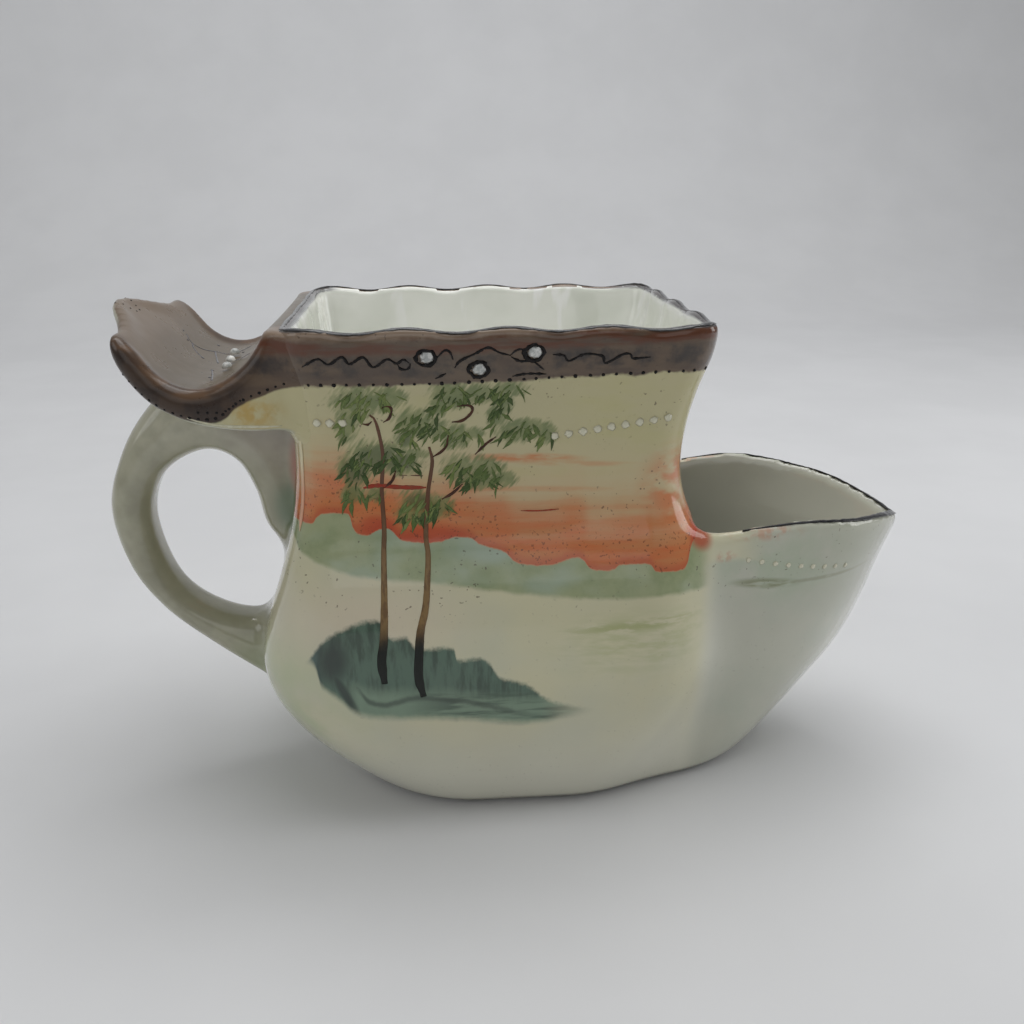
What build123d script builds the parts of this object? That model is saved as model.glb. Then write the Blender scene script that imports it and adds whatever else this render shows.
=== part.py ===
"""Shaving scuttle: a square soap cup over a round water chamber, with a boat-shaped
brush spout, a loop handle and a saddle-shaped brush rest.

Millimetres. Z up, the foot stands on Z = 0, +X points out of the spout and Y = 0 is the
plane of symmetry. X = 0 is the middle of the overall length.
"""
from build123d import *
import os

os.makedirs("parts", exist_ok=True)

# ---------------------------------------------------------------- driving dimensions
LENGTH = 165.1                 # handle to spout tip
SPOUT_TIP = LENGTH / 2
HANDLE_OUT = -LENGTH / 2
RIM_Z = 96.6
WALL = 2.8                     # thickness of the cast walls
FLOOR = 5.0                    # thickness of the bottom, the height of the second level
FOOT_RECESS = 1.5              # depth of the hollow inside the foot ring
FOOT_RING = 4.0                # width of the foot ring

# height, left, right, half depth and corner radius of the body at each level
BODY_LEVELS = [
    (0.0, -38.0, 24.0, 25.5, 23.0),
    (5.0, -42.5, 28.5, 28.0, 24.0),
    (13.0, -48.8, 34.5, 31.4, 24.0),
    (21.0, -51.4, 38.0, 34.0, 22.0),
    (30.0, -52.1, 38.7, 34.9, 20.0),
    (40.0, -50.0, 37.2, 33.8, 17.0),
    (49.0, -47.0, 34.8, 31.8, 13.0),
    (57.0, -44.6, 31.8, 29.5, 10.0),
    (67.0, -43.0, 28.8, 27.6, 8.0),
    (76.0, -42.7, 29.0, 27.7, 7.0),
    (84.0, -42.8, 30.4, 29.0, 6.0),
    (91.0, -43.3, 32.2, 31.0, 5.5),
    (RIM_Z, -44.0, 32.8, 32.3, 5.5),
]

CORNER_SHARE = 0.8             # the inner corners stay a little rounder than a true offset

# height, half width, x where the sides start to close in, and x of the keel at each level
SPOUT_ROOT_X = 14.0            # inside the body
SPOUT_LEVELS = [
    (0.0, 19.5, 20.0, 53.7),
    (7.0, 20.8, 25.0, 60.2),
    (14.5, 21.8, 30.0, 66.6),
    (23.0, 23.0, 35.0, 72.6),
    (32.5, 24.0, 39.5, 76.6),
    (42.0, 24.8, 43.0, 79.6),
    (50.0, 25.4, 45.5, SPOUT_TIP),
    (60.0, 25.8, 47.5, SPOUT_TIP + 2.6),
]
SPOUT_BULGE = 0.62             # how far the sides run on before they turn to the keel
SHARP_END = 1.4                # the walls meet thicker at the keel than along the sides
# side view of the spout's lip, from in front of the tip back to inside the body
SPOUT_LIP = [
    (84.4, 47.0), (SPOUT_TIP, 50.0), (75.5, 54.4), (64.0, 57.0), (52.0, 58.2), (42.0, 57.2), (26.0, 54.0),
]
WINDOW_TOP = 49.0              # top of the opening between chamber and spout

STRAINER_Z = 58.0
STRAINER_THICK = 3.0
STRAINER_X = -7.0              # middle of the strainer
HOLE_R = 2.2
HOLE_PITCH = 9.0

ROOT_X = -30.0                 # where handle and rest end inside the body, before it is cut away
REST_HALF = 26.6               # half width of the brush rest at its outer end
# side view of the cradle, from the cup's rim down, round and out to the lip, and back below
CRADLE_TOP = [
    (-44.4, 95.6), (-49.0, 89.4), (-54.0, 86.0), (-59.0, 85.0), (-64.0, 87.0), (-68.0, 92.6), (-76.8, 98.2),
]
CRADLE_UNDER = [(-77.2, 97.2), (-71.8, 90.6), (-66.8, 84.0), (-60.8, 80.4), (-53.4, 78.6)]
REST_BOTTOM = 78.0
# plan of the cradle's back half, from the cup out to the scalloped end
REST_SIDE = [(-38.0, 27.4), (-46.0, 28.6), (-56.0, 27.8), (-66.0, REST_HALF), (-71.2, 24.6)]
REST_SCALLOP = [(-71.2, 24.6), (-71.8, 16.0), (-73.2, 9.5), (-77.2, 3.6), (-77.2, 0.0)]

HANDLE_HALF = 6.8              # half of the handle's thickness across the object
HANDLE_ROUND = 3.0
HANDLE_TOP = 84.4              # inside the rest
HANDLE_BOTTOM = 12.0           # inside the belly
# side view of the handle: its outer edge from the rest down to the belly, and its eye
HANDLE_OUTLINE = [
    (-68.0, HANDLE_TOP), (-74.0, 76.6), (-79.4, 68.0), (HANDLE_OUT, 57.0), (-80.2, 44.5), (-74.4, 35.0),
    (-66.0, 27.2), (-54.4, 18.4), (-44.0, HANDLE_BOTTOM),
]
HANDLE_EYE = [
    (-63.0, 68.4), (-71.2, 63.6), (-74.2, 54.0), (-70.8, 41.2), (-63.6, 34.6), (-54.5, 32.6),
    (-47.6, 38.0), (-47.0, 46.0), (-51.6, 52.6), (-53.4, 60.0), (-56.8, 66.4),
]

BEAD_R = 0.85
JEWEL_R = 1.6
SMALL_JEWEL_R = 1.0
# each row of slip beads in side view: first bead, last bead, count
NECK_ROW = ((3.8, 76.4), (24.0, 79.4), 9)
LEFT_ROW = ((-37.6, 79.7), (-33.2, 79.6), 3)
SPOUT_ROW = ((43.0, 49.2), (66.0, 46.0), 9)
BAND_JEWELS = [(-18.5, 91.4), (-9.6, 89.1), (-0.2, 92.0)]
CRADLE_JEWELS = [(-57.6, 11.0, 85.2), (-57.0, 2.6, 85.2), (-56.4, -4.6, 85.3)]

CLEAR = 60.0                   # half size of a cutting block that clears the whole object


# ---------------------------------------------------------------- shared shapes
def body_section(level, inset):
    """One horizontal rounded rectangle of the body, shrunk by inset."""
    z, left, right, half_depth, corner = level
    with BuildSketch(Plane.XY.offset(z)) as section:
        with Locations(((left + right) / 2, 0)):
            length = right - left - 2 * inset
            RectangleRounded(length, 2 * (half_depth - inset), corner - inset * CORNER_SHARE)
    return section.sketch


def spout_section(level, inset):
    """One horizontal slice of the boat: parallel sides that close to a point."""
    z, half, shoulder, keel = level
    half -= inset
    keel -= inset * SHARP_END
    turn = shoulder + SPOUT_BULGE * (keel - shoulder)
    with BuildSketch(Plane.XY.offset(z)) as section:
        with BuildLine():
            Line((SPOUT_ROOT_X, half), (SPOUT_ROOT_X, -half))
            Line((SPOUT_ROOT_X, -half), (shoulder, -half))
            Bezier((shoulder, -half), (turn, -half), (keel, 0))
            Bezier((keel, 0), (turn, half), (shoulder, half))
            Line((shoulder, half), (SPOUT_ROOT_X, half))
        make_face()
    return section.sketch


with BuildPart() as body_form:
    loft([body_section(level, 0) for level in BODY_LEVELS])

with BuildPart() as body_hollow:
    loft([body_section(level, WALL) for level in BODY_LEVELS[1:]])

with BuildPart() as spout_form:
    loft([spout_section(level, 0) for level in SPOUT_LEVELS])
    with BuildSketch(Plane.XZ):
        with BuildLine():
            Spline(*SPOUT_LIP)
            Polyline(SPOUT_LIP[-1], (0, 54), (0, RIM_Z), (LENGTH, RIM_Z), (LENGTH, 47), SPOUT_LIP[0])
        make_face()
    extrude(amount=CLEAR, both=True, mode=Mode.SUBTRACT)

with BuildPart() as spout_hollow:
    loft([spout_section(level, WALL) for level in SPOUT_LEVELS])
    split(bisect_by=Plane.XY.offset(FLOOR), keep=Keep.TOP)

with BuildPart() as window:
    add(spout_hollow)
    split(bisect_by=Plane.XY.offset(WINDOW_TOP), keep=Keep.BOTTOM)

with BuildPart() as rest_form:
    with BuildSketch(Plane.XZ):
        with BuildLine():
            Line((ROOT_X, CRADLE_TOP[0][1]), CRADLE_TOP[0])
            Spline(*CRADLE_TOP)
            Line(CRADLE_TOP[-1], CRADLE_UNDER[0])
            Spline(*CRADLE_UNDER)
            Polyline(CRADLE_UNDER[-1], (ROOT_X, REST_BOTTOM), (ROOT_X, CRADLE_TOP[0][1]))
        make_face()
    extrude(amount=CLEAR, both=True)
    with BuildSketch():
        with BuildLine():
            Polyline((ROOT_X, 0), (ROOT_X, REST_SIDE[0][1] - 1), REST_SIDE[0])
            Spline(*REST_SIDE)
            Spline(*REST_SCALLOP)
            mirror(about=Plane.XZ)
        make_face()
    extrude(amount=2 * CLEAR, mode=Mode.INTERSECT)

# ---------------------------------------------------------------- cast pieces
with BuildPart() as body_shell:
    add(body_form)
    add(body_hollow, mode=Mode.SUBTRACT)
    add(window, mode=Mode.SUBTRACT)
    with BuildSketch() as recess:
        add(body_section(BODY_LEVELS[0], FOOT_RING))
    extrude(amount=FOOT_RECESS, mode=Mode.SUBTRACT)

with BuildPart() as spout_shell:
    add(spout_form)
    add(spout_hollow, mode=Mode.SUBTRACT)
    add(body_form, mode=Mode.SUBTRACT)

with BuildPart() as soap_strainer:
    with BuildSketch(Plane.XY.offset(STRAINER_Z)):
        Rectangle(2 * CLEAR, 2 * CLEAR)
    extrude(amount=STRAINER_THICK)
    add(body_hollow, mode=Mode.INTERSECT)
    with Locations((STRAINER_X, 0, STRAINER_Z + STRAINER_THICK)):
        with GridLocations(HOLE_PITCH, HOLE_PITCH, 7, 5):
            Hole(radius=HOLE_R)

with BuildPart() as brush_rest:
    add(rest_form)
    add(body_form, mode=Mode.SUBTRACT)
    add(body_hollow, mode=Mode.SUBTRACT)

with BuildPart() as handle:
    with BuildSketch(Plane.XZ):
        with BuildLine():
            Spline(*HANDLE_OUTLINE)
            Polyline(HANDLE_OUTLINE[-1], (ROOT_X, HANDLE_BOTTOM), (ROOT_X, HANDLE_TOP), HANDLE_OUTLINE[0])
        make_face()
        with BuildLine():
            Spline(*HANDLE_EYE, periodic=True)
        make_face(mode=Mode.SUBTRACT)
    extrude(amount=HANDLE_HALF, both=True)
    curved = handle.edges().filter_by(GeomType.BSPLINE).group_by(Axis.Y)
    fillet(curved[0] + curved[-1], radius=HANDLE_ROUND)
    add(rest_form, mode=Mode.SUBTRACT)
    add(body_form, mode=Mode.SUBTRACT)

# ---------------------------------------------------------------- slip beads and enamel jewels
def row(start, finish, count):
    """Evenly spaced (x, z) points of a straight row."""
    shares = [i / (count - 1) for i in range(count)]
    return [tuple(a + (b - a) * share for a, b in zip(start, finish)) for share in shares]


def on_front(base, places):
    """Points where lines along Y first meet the front of the base."""
    found = []
    for x, z in places:
        inside = base.part.intersect(Edge.make_line((x, -CLEAR, z), (x, 0, z)))
        found.append(tuple(inside.vertices().sort_by(Axis.Y)[0].center()))
    return found


def opposite(places):
    """The same places on the far side of the object."""
    return [(x, -y, z) for x, y, z in places]


def domes(places, radius, base):
    """Separate dots half sunk at the given places, cut off where they meet the base."""
    with BuildPart() as dots:
        with Locations(*places):
            Sphere(radius)
        add(base, mode=Mode.SUBTRACT)
    return dots


neck_places = on_front(body_form, row(*NECK_ROW) + row(*LEFT_ROW))
spout_places = on_front(spout_form, row(*SPOUT_ROW))
band_places = on_front(body_form, BAND_JEWELS)

slip_beads_front_neck = domes(neck_places, BEAD_R, body_form)
slip_beads_back_neck = domes(opposite(neck_places), BEAD_R, body_form)
slip_beads_front_spout = domes(spout_places, BEAD_R, spout_form)
slip_beads_back_spout = domes(opposite(spout_places), BEAD_R, spout_form)
enamel_jewels_front = domes(band_places, JEWEL_R, body_form)
enamel_jewels_back = domes(opposite(band_places), JEWEL_R, body_form)
enamel_jewels_cradle = domes(CRADLE_JEWELS, SMALL_JEWEL_R, rest_form)

# ---------------------------------------------------------------- files
pieces = {
    "body_shell": body_shell,
    "spout_shell": spout_shell,
    "soap_strainer": soap_strainer,
    "handle": handle,
    "brush_rest": brush_rest,
    "slip_beads_front_neck": slip_beads_front_neck,
    "slip_beads_back_neck": slip_beads_back_neck,
    "slip_beads_front_spout": slip_beads_front_spout,
    "slip_beads_back_spout": slip_beads_back_spout,
    "enamel_jewels_front": enamel_jewels_front,
    "enamel_jewels_back": enamel_jewels_back,
    "enamel_jewels_cradle": enamel_jewels_cradle,
}
for name, piece in pieces.items():
    piece.part.label = name
    export_step(piece.part, f"parts/{name}.step")
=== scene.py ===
"""Looks of the shaving scuttle: cast porcelain under a hand-painted lake scene and a gloss glaze.

Everything is worked out in millimetres in the part's own frame and turned into metres
when a mesh is made. The cast shapes are distance fields on a grid, so that walls, joints
and lips run into each other the way slip-cast clay does.
"""
import math
import random

import bpy
import numpy as np
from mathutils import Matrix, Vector


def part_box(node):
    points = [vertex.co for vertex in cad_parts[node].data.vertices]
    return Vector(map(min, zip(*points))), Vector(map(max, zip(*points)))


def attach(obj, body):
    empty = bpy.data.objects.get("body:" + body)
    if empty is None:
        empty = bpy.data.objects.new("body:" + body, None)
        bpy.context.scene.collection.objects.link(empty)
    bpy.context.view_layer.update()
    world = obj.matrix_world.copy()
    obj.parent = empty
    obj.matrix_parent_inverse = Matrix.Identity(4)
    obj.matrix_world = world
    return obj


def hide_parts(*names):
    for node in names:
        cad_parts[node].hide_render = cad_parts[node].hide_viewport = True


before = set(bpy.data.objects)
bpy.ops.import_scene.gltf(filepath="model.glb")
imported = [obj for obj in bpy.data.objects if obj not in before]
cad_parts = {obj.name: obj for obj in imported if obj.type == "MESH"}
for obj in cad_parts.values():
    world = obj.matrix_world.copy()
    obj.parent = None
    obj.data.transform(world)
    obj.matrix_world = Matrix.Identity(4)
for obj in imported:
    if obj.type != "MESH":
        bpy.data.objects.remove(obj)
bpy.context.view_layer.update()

MM = 0.001


def box_mm(node):
    """Lowest and highest corner of a CAD node, in millimetres."""
    return [np.array(corner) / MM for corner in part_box(node)]


# ---------------------------------------------------------------- driving sizes, from the frame
RIM_Z = box_mm("body_shell")[1][2]
SPOUT_TIP = box_mm("spout_shell")[1][0]
HANDLE_OUT = box_mm("handle")[0][0]
HANDLE_HALF = box_mm("handle")[1][1]
REST_END = box_mm("brush_rest")[0][0]

WALL = 2.6
FLOOR = 4.6
STEP = 0.95                    # grid spacing of the cup's fields
FINE_STEP = 0.6                # grid spacing of rest and handle
SINK = 0.5                     # how far a joint's hidden skirt dives under the surface it runs on to
FOOT_RING = 4.5
FOOT_RECESS = 1.4
CUP_MIDDLE = -5.6              # x of the middle of the cup's mouth
WAVE = 17.3                    # length of the rim's waves and of the flutes under them
WAVE_START = -4.6
END_FLUTE = 15.0               # spacing of the flutes on the cup's two ends

# height, left, right, half depth and corner radius of the body
BODY_LEVELS = [
    (0.0, -35.0, 33.0, 26.2, 25.8),
    (5.0, -40.6, 35.6, 28.9, 27.4),
    (13.0, -47.8, 37.6, 31.9, 27.6),
    (21.0, -51.2, 38.3, 34.0, 24.5),
    (30.0, -52.1, 38.7, 34.9, 20.0),
    (40.0, -50.0, 37.2, 33.8, 17.0),
    (49.0, -47.0, 34.8, 31.8, 13.0),
    (57.0, -44.6, 31.8, 29.5, 10.0),
    (67.0, -43.0, 28.8, 27.6, 8.0),
    (76.0, -42.7, 29.0, 27.7, 7.0),
    (84.0, -42.8, 30.4, 29.0, 6.0),
    (91.0, -43.3, 32.2, 31.0, 5.5),
    (RIM_Z, -44.0, 32.8, 32.3, 5.5),
    (RIM_Z + 6.0, -44.8, 34.0, 33.8, 5.5),
]
# height, half width, x where the sides start to close in, and x of the keel of the spout
SPOUT_LEVELS = [
    (0.0, 20.5, 25.0, 53.7),
    (7.0, 21.6, 28.0, 60.2),
    (14.5, 21.8, 30.0, 66.6),
    (23.0, 23.0, 35.0, 72.6),
    (32.5, 24.0, 39.5, 76.6),
    (42.0, 24.8, 43.0, 79.6),
    (50.0, 25.4, 45.5, SPOUT_TIP),
    (60.0, 25.8, 47.5, SPOUT_TIP + 2.6),
]
SPOUT_BULGE = 0.62
# side view of the spout's lip, from inside the body out to the tip
SPOUT_LIP = [
    (26.0, 54.0), (42.0, 57.2), (52.0, 58.2), (64.0, 57.0), (75.5, 54.4), (SPOUT_TIP, 50.0), (86.0, 45.5),
]
SCREEN_Z = 49.0                # the cup's right wall ends here, above the way into the spout

# side view of the cradle's upper and lower surface
CRADLE_TOP = [
    (-78.4, 99.6), (-76.4, 98.0), (-72.4, 95.6), (-68.4, 92.2), (-64.6, 87.6), (-59.0, 85.0), (-54.0, 86.0),
    (-49.0, 89.6), (-44.6, 95.2), (-42.0, 96.2),
]
CRADLE_UNDER = [(-78.2, 97.6), (-71.8, 90.0), (-66.8, 83.8), (-60.8, 80.2), (-53.4, 78.5), (-40.0, 78.2)]
# plan of the cradle's back half, from the cup round to the middle of the end
CRADLE_PLAN = [
    (-42.0, 27.0), (-46.0, 28.2), (-56.0, 28.0), (-66.0, 27.0), (-71.6, 25.2), (-72.4, 18.0), (-74.2, 11.5),
    (-77.0, 5.2), (REST_END - 0.8, 0.0),
]

# side view of the handle: its outer edge from the rest down to the belly, and its eye
HANDLE_OUTLINE = [
    (-66.0, 84.4), (-74.0, 76.6), (-79.4, 68.0), (HANDLE_OUT, 57.0), (-80.2, 44.5), (-74.4, 35.0),
    (-66.0, 27.2), (-54.4, 18.4), (-44.0, 12.0),
]
HANDLE_EYE = [
    (-63.0, 68.4), (-71.2, 63.6), (-74.2, 54.0), (-70.8, 41.2), (-63.6, 34.6), (-54.5, 32.6),
    (-47.6, 38.0), (-47.0, 46.0), (-51.6, 52.6), (-53.4, 60.0), (-56.8, 66.4),
]
HANDLE_ROUND = 5.2


# ---------------------------------------------------------------- curves and fields
def smooth_curve(points, at):
    """Values at the given places of a smooth curve through (place, value) points."""
    places, values = np.array(points, float).T
    slopes = np.gradient(values, places)
    at = np.asarray(at, float)
    cell = np.clip(np.searchsorted(places, at) - 1, 0, len(places) - 2)
    width = places[cell + 1] - places[cell]
    t = np.clip((at - places[cell]) / width, 0, 1)
    return (
        values[cell] * (1 + 2 * t) * (1 - t) ** 2
        + values[cell + 1] * t * t * (3 - 2 * t)
        + width * (slopes[cell] * t * (1 - t) ** 2 - slopes[cell + 1] * t * t * (1 - t))
    )


def spline(points, spacing, closed=False):
    """Evenly spaced points of a Catmull-Rom curve through the given points."""
    points = np.array(points, float)
    if closed:
        padded = np.vstack([points[-1], points, points[0], points[1]])
    else:
        padded = np.vstack([2 * points[0] - points[1], points, 2 * points[-1] - points[-2]])
    parts = []
    for p0, p1, p2, p3 in zip(padded, padded[1:], padded[2:], padded[3:]):
        t = np.linspace(0, 1, 24, endpoint=False)[:, None]
        parts.append(
            0.5 * (2 * p1 + (p2 - p0) * t + (2 * p0 - 5 * p1 + 4 * p2 - p3) * t ** 2
                   + (3 * p1 - p0 - 3 * p2 + p3) * t ** 3)
        )
    dense = np.vstack(parts + [padded[-2:-1]])
    along = np.concatenate([[0], np.cumsum(np.linalg.norm(np.diff(dense, axis=0), axis=1))])
    count = max(int(round(along[-1] / spacing)), 2)
    stops = np.linspace(0, along[-1], count + 1)
    return np.stack([np.interp(stops, along, column) for column in dense.T], axis=-1)


def smin(a, b, k):
    """Smaller of two fields, with a fillet about k wide where they are nearly equal."""
    blend = np.maximum(k - np.abs(a - b), 0) / k
    return np.minimum(a, b) - blend * blend * k / 4


def smax(a, b, k):
    return -smin(-a, -b, k)


def smoothstep(low, high, value):
    t = np.clip((value - low) / (high - low), 0, 1)
    return t * t * (3 - 2 * t)


def outline_distance(outline, u, v):
    """Signed distance to a closed outline of points, on a flat grid: negative inside."""
    best = np.full(u.shape, 1e9)
    inside = np.zeros(u.shape, bool)
    for (u0, v0), (u1, v1) in zip(outline, np.roll(outline, -1, axis=0)):
        du, dv = u1 - u0, v1 - v0
        t = np.clip(((u - u0) * du + (v - v0) * dv) / (du * du + dv * dv + 1e-12), 0, 1)
        best = np.minimum(best, (u - u0 - t * du) ** 2 + (v - v0 - t * dv) ** 2)
        crosses = ((v0 > v) != (v1 > v)) & (u < du * (v - v0) / (dv + 1e-12) + u0)
        inside ^= crosses
    return np.where(inside, -1, 1) * np.sqrt(best)


class Grid:
    """A box of evenly spaced points."""

    def __init__(self, low, high, step):
        self.low = np.array(low, float)
        self.step = step
        counts = np.ceil((np.array(high) - self.low) / step).astype(int) + 1
        axes = [self.low[i] + step * np.arange(counts[i]) for i in range(3)]
        self.x = axes[0][:, None, None]
        self.y = axes[1][None, :, None]
        self.z = axes[2][None, None, :]

    def even(self, field):
        """The field divided by its slope, so that its values are nearly distances."""
        slopes = np.gradient(field, self.step)
        slope = np.sqrt(sum(part * part for part in slopes))
        return field / np.clip(slope, 0.6, 4.0)

    def soften(self, field):
        for axis in range(3):
            ends = np.concatenate([np.take(field, [0], axis), field, np.take(field, [-1], axis)], axis)
            count = field.shape[axis]
            take = [np.take(ends, range(start, start + count), axis) for start in (0, 1, 2)]
            field = 0.25 * take[0] + 0.5 * take[1] + 0.25 * take[2]
        return field

    def sample(self, field, points):
        """Field values between grid points."""
        place = (points - self.low) / self.step
        limit = np.array(field.shape) - 2
        cell = np.clip(np.floor(place).astype(int), 0, limit)
        t = np.clip(place - cell, 0, 1)
        total = 0
        for i in (0, 1):
            for j in (0, 1):
                for k in (0, 1):
                    share = (t[:, 0] if i else 1 - t[:, 0]) * (t[:, 1] if j else 1 - t[:, 1])
                    share = share * (t[:, 2] if k else 1 - t[:, 2])
                    total = total + share * field[cell[:, 0] + i, cell[:, 1] + j, cell[:, 2] + k]
        return total

    def slope(self, field, points):
        """Unit direction in which the field grows."""
        reach = 0.7 * self.step
        parts = []
        for axis in range(3):
            shift = np.zeros(3)
            shift[axis] = reach
            parts.append(self.sample(field, points + shift) - self.sample(field, points - shift))
        direction = np.stack(parts, axis=-1) / (2 * reach)
        return direction, np.linalg.norm(direction, axis=1, keepdims=True) + 1e-9

    def settle(self, field, points, rounds=3):
        """Points moved straight onto the surface where the field is nought."""
        for _ in range(rounds):
            direction, size = self.slope(field, points)
            gap = self.sample(field, points)[:, None]
            points = points - direction / size * np.clip(gap / size, -self.step, self.step)
        return points


def surface_net(grid, field):
    """Vertices and quads of the closed surface where the field changes sign."""
    cells = np.array(field.shape) - 1
    total = np.zeros(tuple(cells) + (3,), np.float32)
    count = np.zeros(tuple(cells), np.float32)
    crossings = []
    for axis in range(3):
        near = np.take(field, range(field.shape[axis] - 1), axis)
        far = np.take(field, range(1, field.shape[axis]), axis)
        cross = (near < 0) != (far < 0)
        share = np.where(cross, near / np.where(cross, near - far, 1), 0)
        others = [i for i in range(3) if i != axis]
        for da in (0, 1):
            for db in (0, 1):
                window = [slice(None)] * 3
                window[others[0]] = slice(da, da + cells[others[0]])
                window[others[1]] = slice(db, db + cells[others[1]])
                hit = cross[tuple(window)]
                count += hit
                total[..., axis] += np.where(hit, share[tuple(window)], 0)
                total[..., others[0]] += da * hit
                total[..., others[1]] += db * hit
        crossings.append((cross, near < 0))
    used = count > 0
    index = np.full(tuple(cells), -1, np.int64)
    index[used] = np.arange(used.sum())
    where = np.argwhere(used)
    points = grid.low + grid.step * (where + total[used] / count[used][:, None])
    quads = []
    for axis, (cross, leaving) in enumerate(crossings):
        spots = np.argwhere(cross)
        a, b = [(axis + 1) % 3, (axis + 2) % 3]
        at_a, at_b = spots[:, a], spots[:, b]
        spots = spots[(at_a > 0) & (at_b > 0) & (at_a < cells[a]) & (at_b < cells[b])]
        corners = []
        for back_a, back_b in ((1, 1), (0, 1), (0, 0), (1, 0)):
            corner = spots.copy()
            corner[:, a] -= back_a
            corner[:, b] -= back_b
            corners.append(index[tuple(corner.T)])
        quad = np.stack(corners, axis=-1)
        flip = ~leaving[tuple(spots.T)]
        quad[flip] = quad[flip][:, ::-1]
        quads.append(quad)
    return points, np.vstack(quads)


# ---------------------------------------------------------------- cast shapes
def body_field(grid):
    """The closed outer form of cup and chamber."""
    heights = [level[0] for level in BODY_LEVELS]
    left, right, half, corner = [
        smooth_curve([(h, level[i]) for h, level in zip(heights, BODY_LEVELS)], grid.z) for i in (1, 2, 3, 4)
    ]
    middle = (left + right) / 2
    u = np.abs(grid.x - middle) - ((right - left) / 2 - corner)
    v = np.abs(grid.y) - (half - corner)
    field = np.hypot(np.maximum(u, 0), np.maximum(v, 0)) + np.minimum(np.maximum(u, v), 0) - corner
    return grid.even(field)


def spout_field(grid):
    """The outer form of the boat, open above; it starts well inside the body."""
    half, shoulder, keel = [
        smooth_curve([(level[0], level[i]) for level in SPOUT_LEVELS], grid.z) for i in (1, 2, 3)
    ]
    run = np.clip((grid.x - shoulder) / (keel - shoulder), 0, 1.5)
    curve = 1 - 2 * SPOUT_BULGE
    t = (-SPOUT_BULGE + np.sqrt(SPOUT_BULGE ** 2 + curve * run)) / curve
    return np.maximum(grid.even(np.abs(grid.y) - half * (1 - t * t)), 12.0 - grid.x)


def rim_height(grid):
    """The cup's lip dips and rises a little, least at the end beside the brush rest."""
    sides = smoothstep(24, 30, np.abs(grid.y))
    wave = 0.35 * np.cos(2 * math.pi * (grid.x - WAVE_START) / WAVE) * sides
    ends = 0.06 + 0.29 * smoothstep(-10, 10, grid.x)
    wave = wave + ends * np.cos(2 * math.pi * grid.y / WAVE) * (1 - sides)
    return RIM_Z - 0.2 + wave


def flutes(grid):
    """Shallow upright flutes inside the cup, which fade out downwards."""
    ends = 0.2 + 0.8 * smoothstep(-10, 10, grid.x)
    phase = np.cos(2 * math.pi * (grid.x - WAVE_START) / WAVE)
    phase = phase + ends * np.cos(2 * math.pi * grid.y / END_FLUTE)
    return 0.28 * phase * smoothstep(RIM_Z - 34, RIM_Z - 4, grid.z)


def cup_form(grid):
    """The closed outer form of body and spout together."""
    body = body_field(grid)
    spout = spout_field(grid)
    lip = grid.even(grid.z - smooth_curve(SPOUT_LIP, grid.x) + 0 * grid.y)
    form = smin(smax(body, grid.z - rim_height(grid), 1.2), smax(spout, lip, 1.2), 6.0)
    return smax(form, 0 * body - grid.z, 2.2)


def cup_fields():
    """Grid, outer form, hollow and solid of body and spout together."""
    grid = Grid((-57.0, -38.0, -3.2), (SPOUT_TIP + 5, 38.0, RIM_Z + 4), STEP)
    outer = grid.soften(cup_form(grid))
    body = body_field(grid)
    spout = spout_field(grid)
    chamber = smax(body, grid.z - SCREEN_Z, 1.0)
    way_out = smax(smin(chamber, spout, 4.0) + WALL, grid.z - SCREEN_Z, 2.0)
    lip = grid.even(grid.z - smooth_curve(SPOUT_LIP, grid.x) + 0 * grid.y)
    boat = np.maximum(smax(spout + WALL, -body, 1.0), lip - 2.5)
    hollow = np.minimum(np.minimum(body + WALL + flutes(grid), boat), way_out)
    hollow = smax(hollow, FLOOR - grid.z, 4.0)
    foot = smax(body + FOOT_RING, grid.z - FOOT_RECESS, 1.0)
    solid = smax(smax(outer, -hollow, 1.6), -foot, 0.8)
    return grid, outer, hollow, grid.soften(solid)


def cradle_form(grid):
    """The brush rest: a slab curved to hold a brush, with a rolled edge and a scalloped end."""
    side = spline(CRADLE_PLAN, 1.2)
    outline = np.vstack([side, side[::-1] * (1, -1)])
    plan = outline_distance(outline, *np.broadcast_arrays(grid.x[:, :, 0], grid.y[:, :, 0]))[:, :, None]
    roll = 0.7 * np.exp(-((plan + 2.2) / 1.6) ** 2)
    dish = 0.5 * (1 - (grid.y / 28) ** 2)
    top = grid.even(grid.z - smooth_curve(CRADLE_TOP, grid.x) - roll + dish)
    under = grid.even(smooth_curve(CRADLE_UNDER, grid.x) - grid.z + 0 * grid.y)
    return smax(smax(top, under, 2.0), plan, 2.2)


def handle_form(grid):
    """The looped handle: a flat-sided band with rounded edges and faint ridges along its sides."""
    outline = np.vstack([spline(HANDLE_OUTLINE, 1.2), [(-38.0, 12.0), (-38.0, 84.4)]])
    flat = np.broadcast_arrays(grid.x[:, 0, :], grid.z[:, 0, :])
    edge = outline_distance(outline, *flat) + 0.5
    eye = outline_distance(spline(HANDLE_EYE, 1.2, closed=True), *flat)
    band = smax(edge, -eye, 0.5)[:, None, :]
    ridges = 0.22 * np.cos(2 * math.pi * (band + 1.2) / 4.6) * smoothstep(-7.5, -5.5, band)
    u = band + HANDLE_ROUND
    v = np.abs(grid.y) - (HANDLE_HALF - 0.3 - HANDLE_ROUND) - ridges
    form = np.hypot(np.maximum(u, 0), np.maximum(v, 0)) + np.minimum(np.maximum(u, v), 0) - HANDLE_ROUND
    return np.maximum(form, grid.z - smooth_curve(CRADLE_UNDER, grid.x) - 1.2)


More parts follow.
